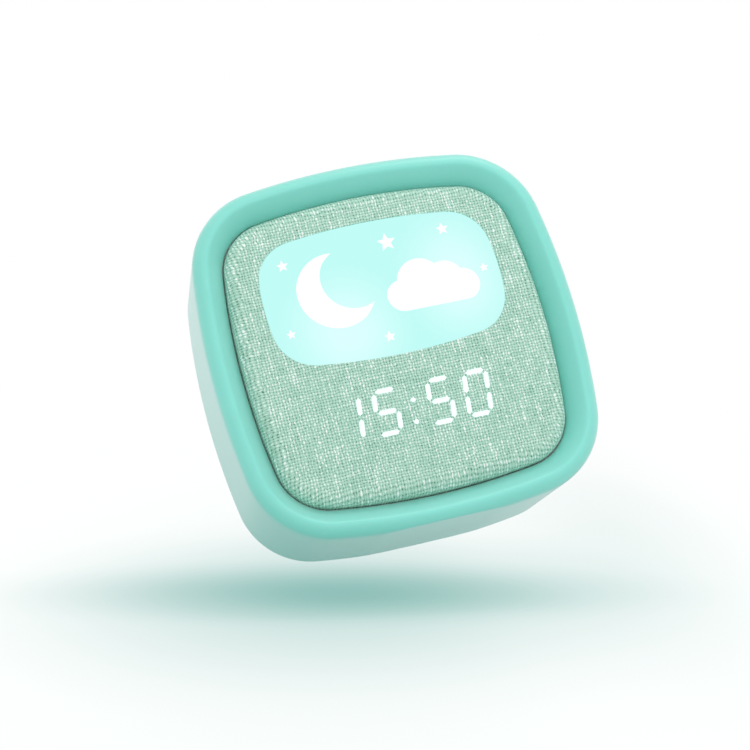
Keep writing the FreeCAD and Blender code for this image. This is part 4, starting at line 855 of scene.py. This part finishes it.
def world():
    """White for what is seen directly, in gloss and through glass, and softer as a light."""
    made = bpy.data.worlds.new("studio")
    bpy.context.scene.world = made
    made.use_nodes = True
    tree = made.node_tree
    tree.nodes.clear()
    path = tree.nodes.new("ShaderNodeLightPath")
    seen = path.outputs["Is Camera Ray"]
    for ray in ("Is Glossy Ray", "Is Transmission Ray"):
        either = tree.nodes.new("ShaderNodeMath")
        either.operation = "MAXIMUM"
        tree.links.new(seen, either.inputs[0])
        tree.links.new(path.outputs[ray], either.inputs[1])
        seen = either.outputs[0]
    white = tree.nodes.new("ShaderNodeBackground")
    white.inputs["Color"].default_value = (1, 1, 1, 1)
    soft = tree.nodes.new("ShaderNodeBackground")
    soft.inputs["Color"].default_value = (1, 1, 1, 1)
    soft.inputs["Strength"].default_value = AMBIENT
    mixed = tree.nodes.new("ShaderNodeMixShader")
    tree.links.new(seen, mixed.inputs[0])
    tree.links.new(soft.outputs[0], mixed.inputs[1])
    tree.links.new(white.outputs[0], mixed.inputs[2])
    out = tree.nodes.new("ShaderNodeOutputWorld")
    tree.links.new(mixed.outputs[0], out.inputs[0])


def floor(level, right, ahead):
    """A pale round floor, level in the photograph's frame, that fades out into the white."""
    under = (cad_box[0] + cad_box[1]) / 2 - level * FLOOR_DROP
    away = level.cross(right)
    rim = [(math.cos(turn), math.sin(turn)) for turn in np.linspace(0, 2 * math.pi, 96, endpoint=False)]
    mesh = bpy.data.meshes.new("floor")
    mesh.from_pydata([under + FLOOR_RADIUS * (right * a + away * b) for a, b in rim], [], [range(96)])
    made = bpy.data.objects.new("floor", mesh)
    bpy.context.scene.collection.objects.link(made)
    mesh.materials.append(floor_finish(under, right, away))


def floor_finish(under, right, away):
    """White paper with a soft green pool of shade round the clock's own shadow."""
    finish = Finish("floor", Roughness=1.0, Specular_IOR_Level=0.0)
    place = finish.place()

    def fall(across, back, wide, deep):
        """One at a spot of the floor, and nothing beyond an ellipse round it."""
        offset = finish.add("ShaderNodeVectorMath", {0: place, 1: under + right * across + away * back},
                            operation="SUBTRACT")
        along = finish.add("ShaderNodeVectorMath", {0: offset, 1: right / wide}, 1, operation="DOT_PRODUCT")
        deeper = finish.add("ShaderNodeVectorMath", {0: offset, 1: away / deep}, 1, operation="DOT_PRODUCT")
        spot = finish.add("ShaderNodeCombineXYZ", {0: along, 1: deeper})
        far = finish.add("ShaderNodeVectorMath", {0: spot}, 1, operation="LENGTH")
        return finish.maths("SUBTRACT", 1.0, finish.ramp(far, 0.0, 1.0))

    pools = ((-0.015, 0.004, 0.139, 0.08, 0.26), (-0.015, -0.01, 0.139, 0.21, 0.31),
             (-0.015, -0.02, 0.139, 0.5, 0.1), (0.091, 0.167, 0.065, 0.5, 0.13))
    shade = None
    for across, back, wide, deep, depth in pools:
        pool = finish.maths("MULTIPLY", fall(across, back, wide, deep), depth)
        shade = finish.maths("ADD", shade, pool) if shade else pool
    path = finish.add("ShaderNodeLightPath")
    bounced = finish.maths("MAXIMUM", path.node.outputs[2], path.node.outputs[3])
    path = finish.maths("MAXIMUM", path, finish.maths("MULTIPLY", bounced, FLOOR_BOUNCE))
    paper = finish.mix(shade, (0.3, 0.22, 0.235, 1), (0.0, 0.09, 0.08, 1))
    glow = finish.mix(shade, (0.7, 0.8, 0.775, 1), (0.0, 0.27, 0.23, 1))
    finish.set(finish.shader, {"Base Color": paper, "Emission Color": glow, "Emission Strength": path})
    clear = finish.add("ShaderNodeBsdfTransparent")
    behind = finish.add("ShaderNodeNewGeometry", output=6)
    edge = finish.maths("SUBTRACT", 1.0, fall(0.0, -0.2, 0.8, 1.4))
    hidden = finish.maths("MAXIMUM", behind, finish.ramp(edge, 0.1, 0.8))
    mixed = finish.add("ShaderNodeMixShader", {0: hidden, 1: finish.shader.outputs[0], 2: clear})
    finish.tree.links.new(mixed, finish.tree.nodes["Material Output"].inputs[0])
    return finish.material


def studio():
    """Camera, white surroundings, three soft lamps and the floor."""
    ahead, up, right = camera()
    level = up * math.cos(CAMERA_RISE) - ahead * math.sin(CAMERA_RISE)
    world()
    lamp("key", -level - right * KEY_LEAN, 1.0, 0.5, KEY_POWER)
    face = row_direction((0, 0, -1))
    lamp("front", face + right * 0.12 - up * 0.1, 1.2, 1.6, FRONT_POWER)
    lamp("low", ahead * 0.8 + up * 0.9 + right * 0.3, 0.8, 0.6, LOW_POWER)
    floor(level, right, ahead)
    bpy.context.scene.view_settings.view_transform = "Standard"


def clock():
    """All that the clock shows, over the solid model's own nodes."""
    finishes()
    dress_nodes()
    dress(silicone_skin(), "mint_silicone", replaces=["silicone_skin"])
    dress(fabric_front(), "mint_cloth", replaces=["fabric_cover"])
    dress(smooth_lens(), "lit_window", replaces=["window_lens"])
    dress(lit_figures(), "lit_digits")
    key_marks()


clock()
studio()
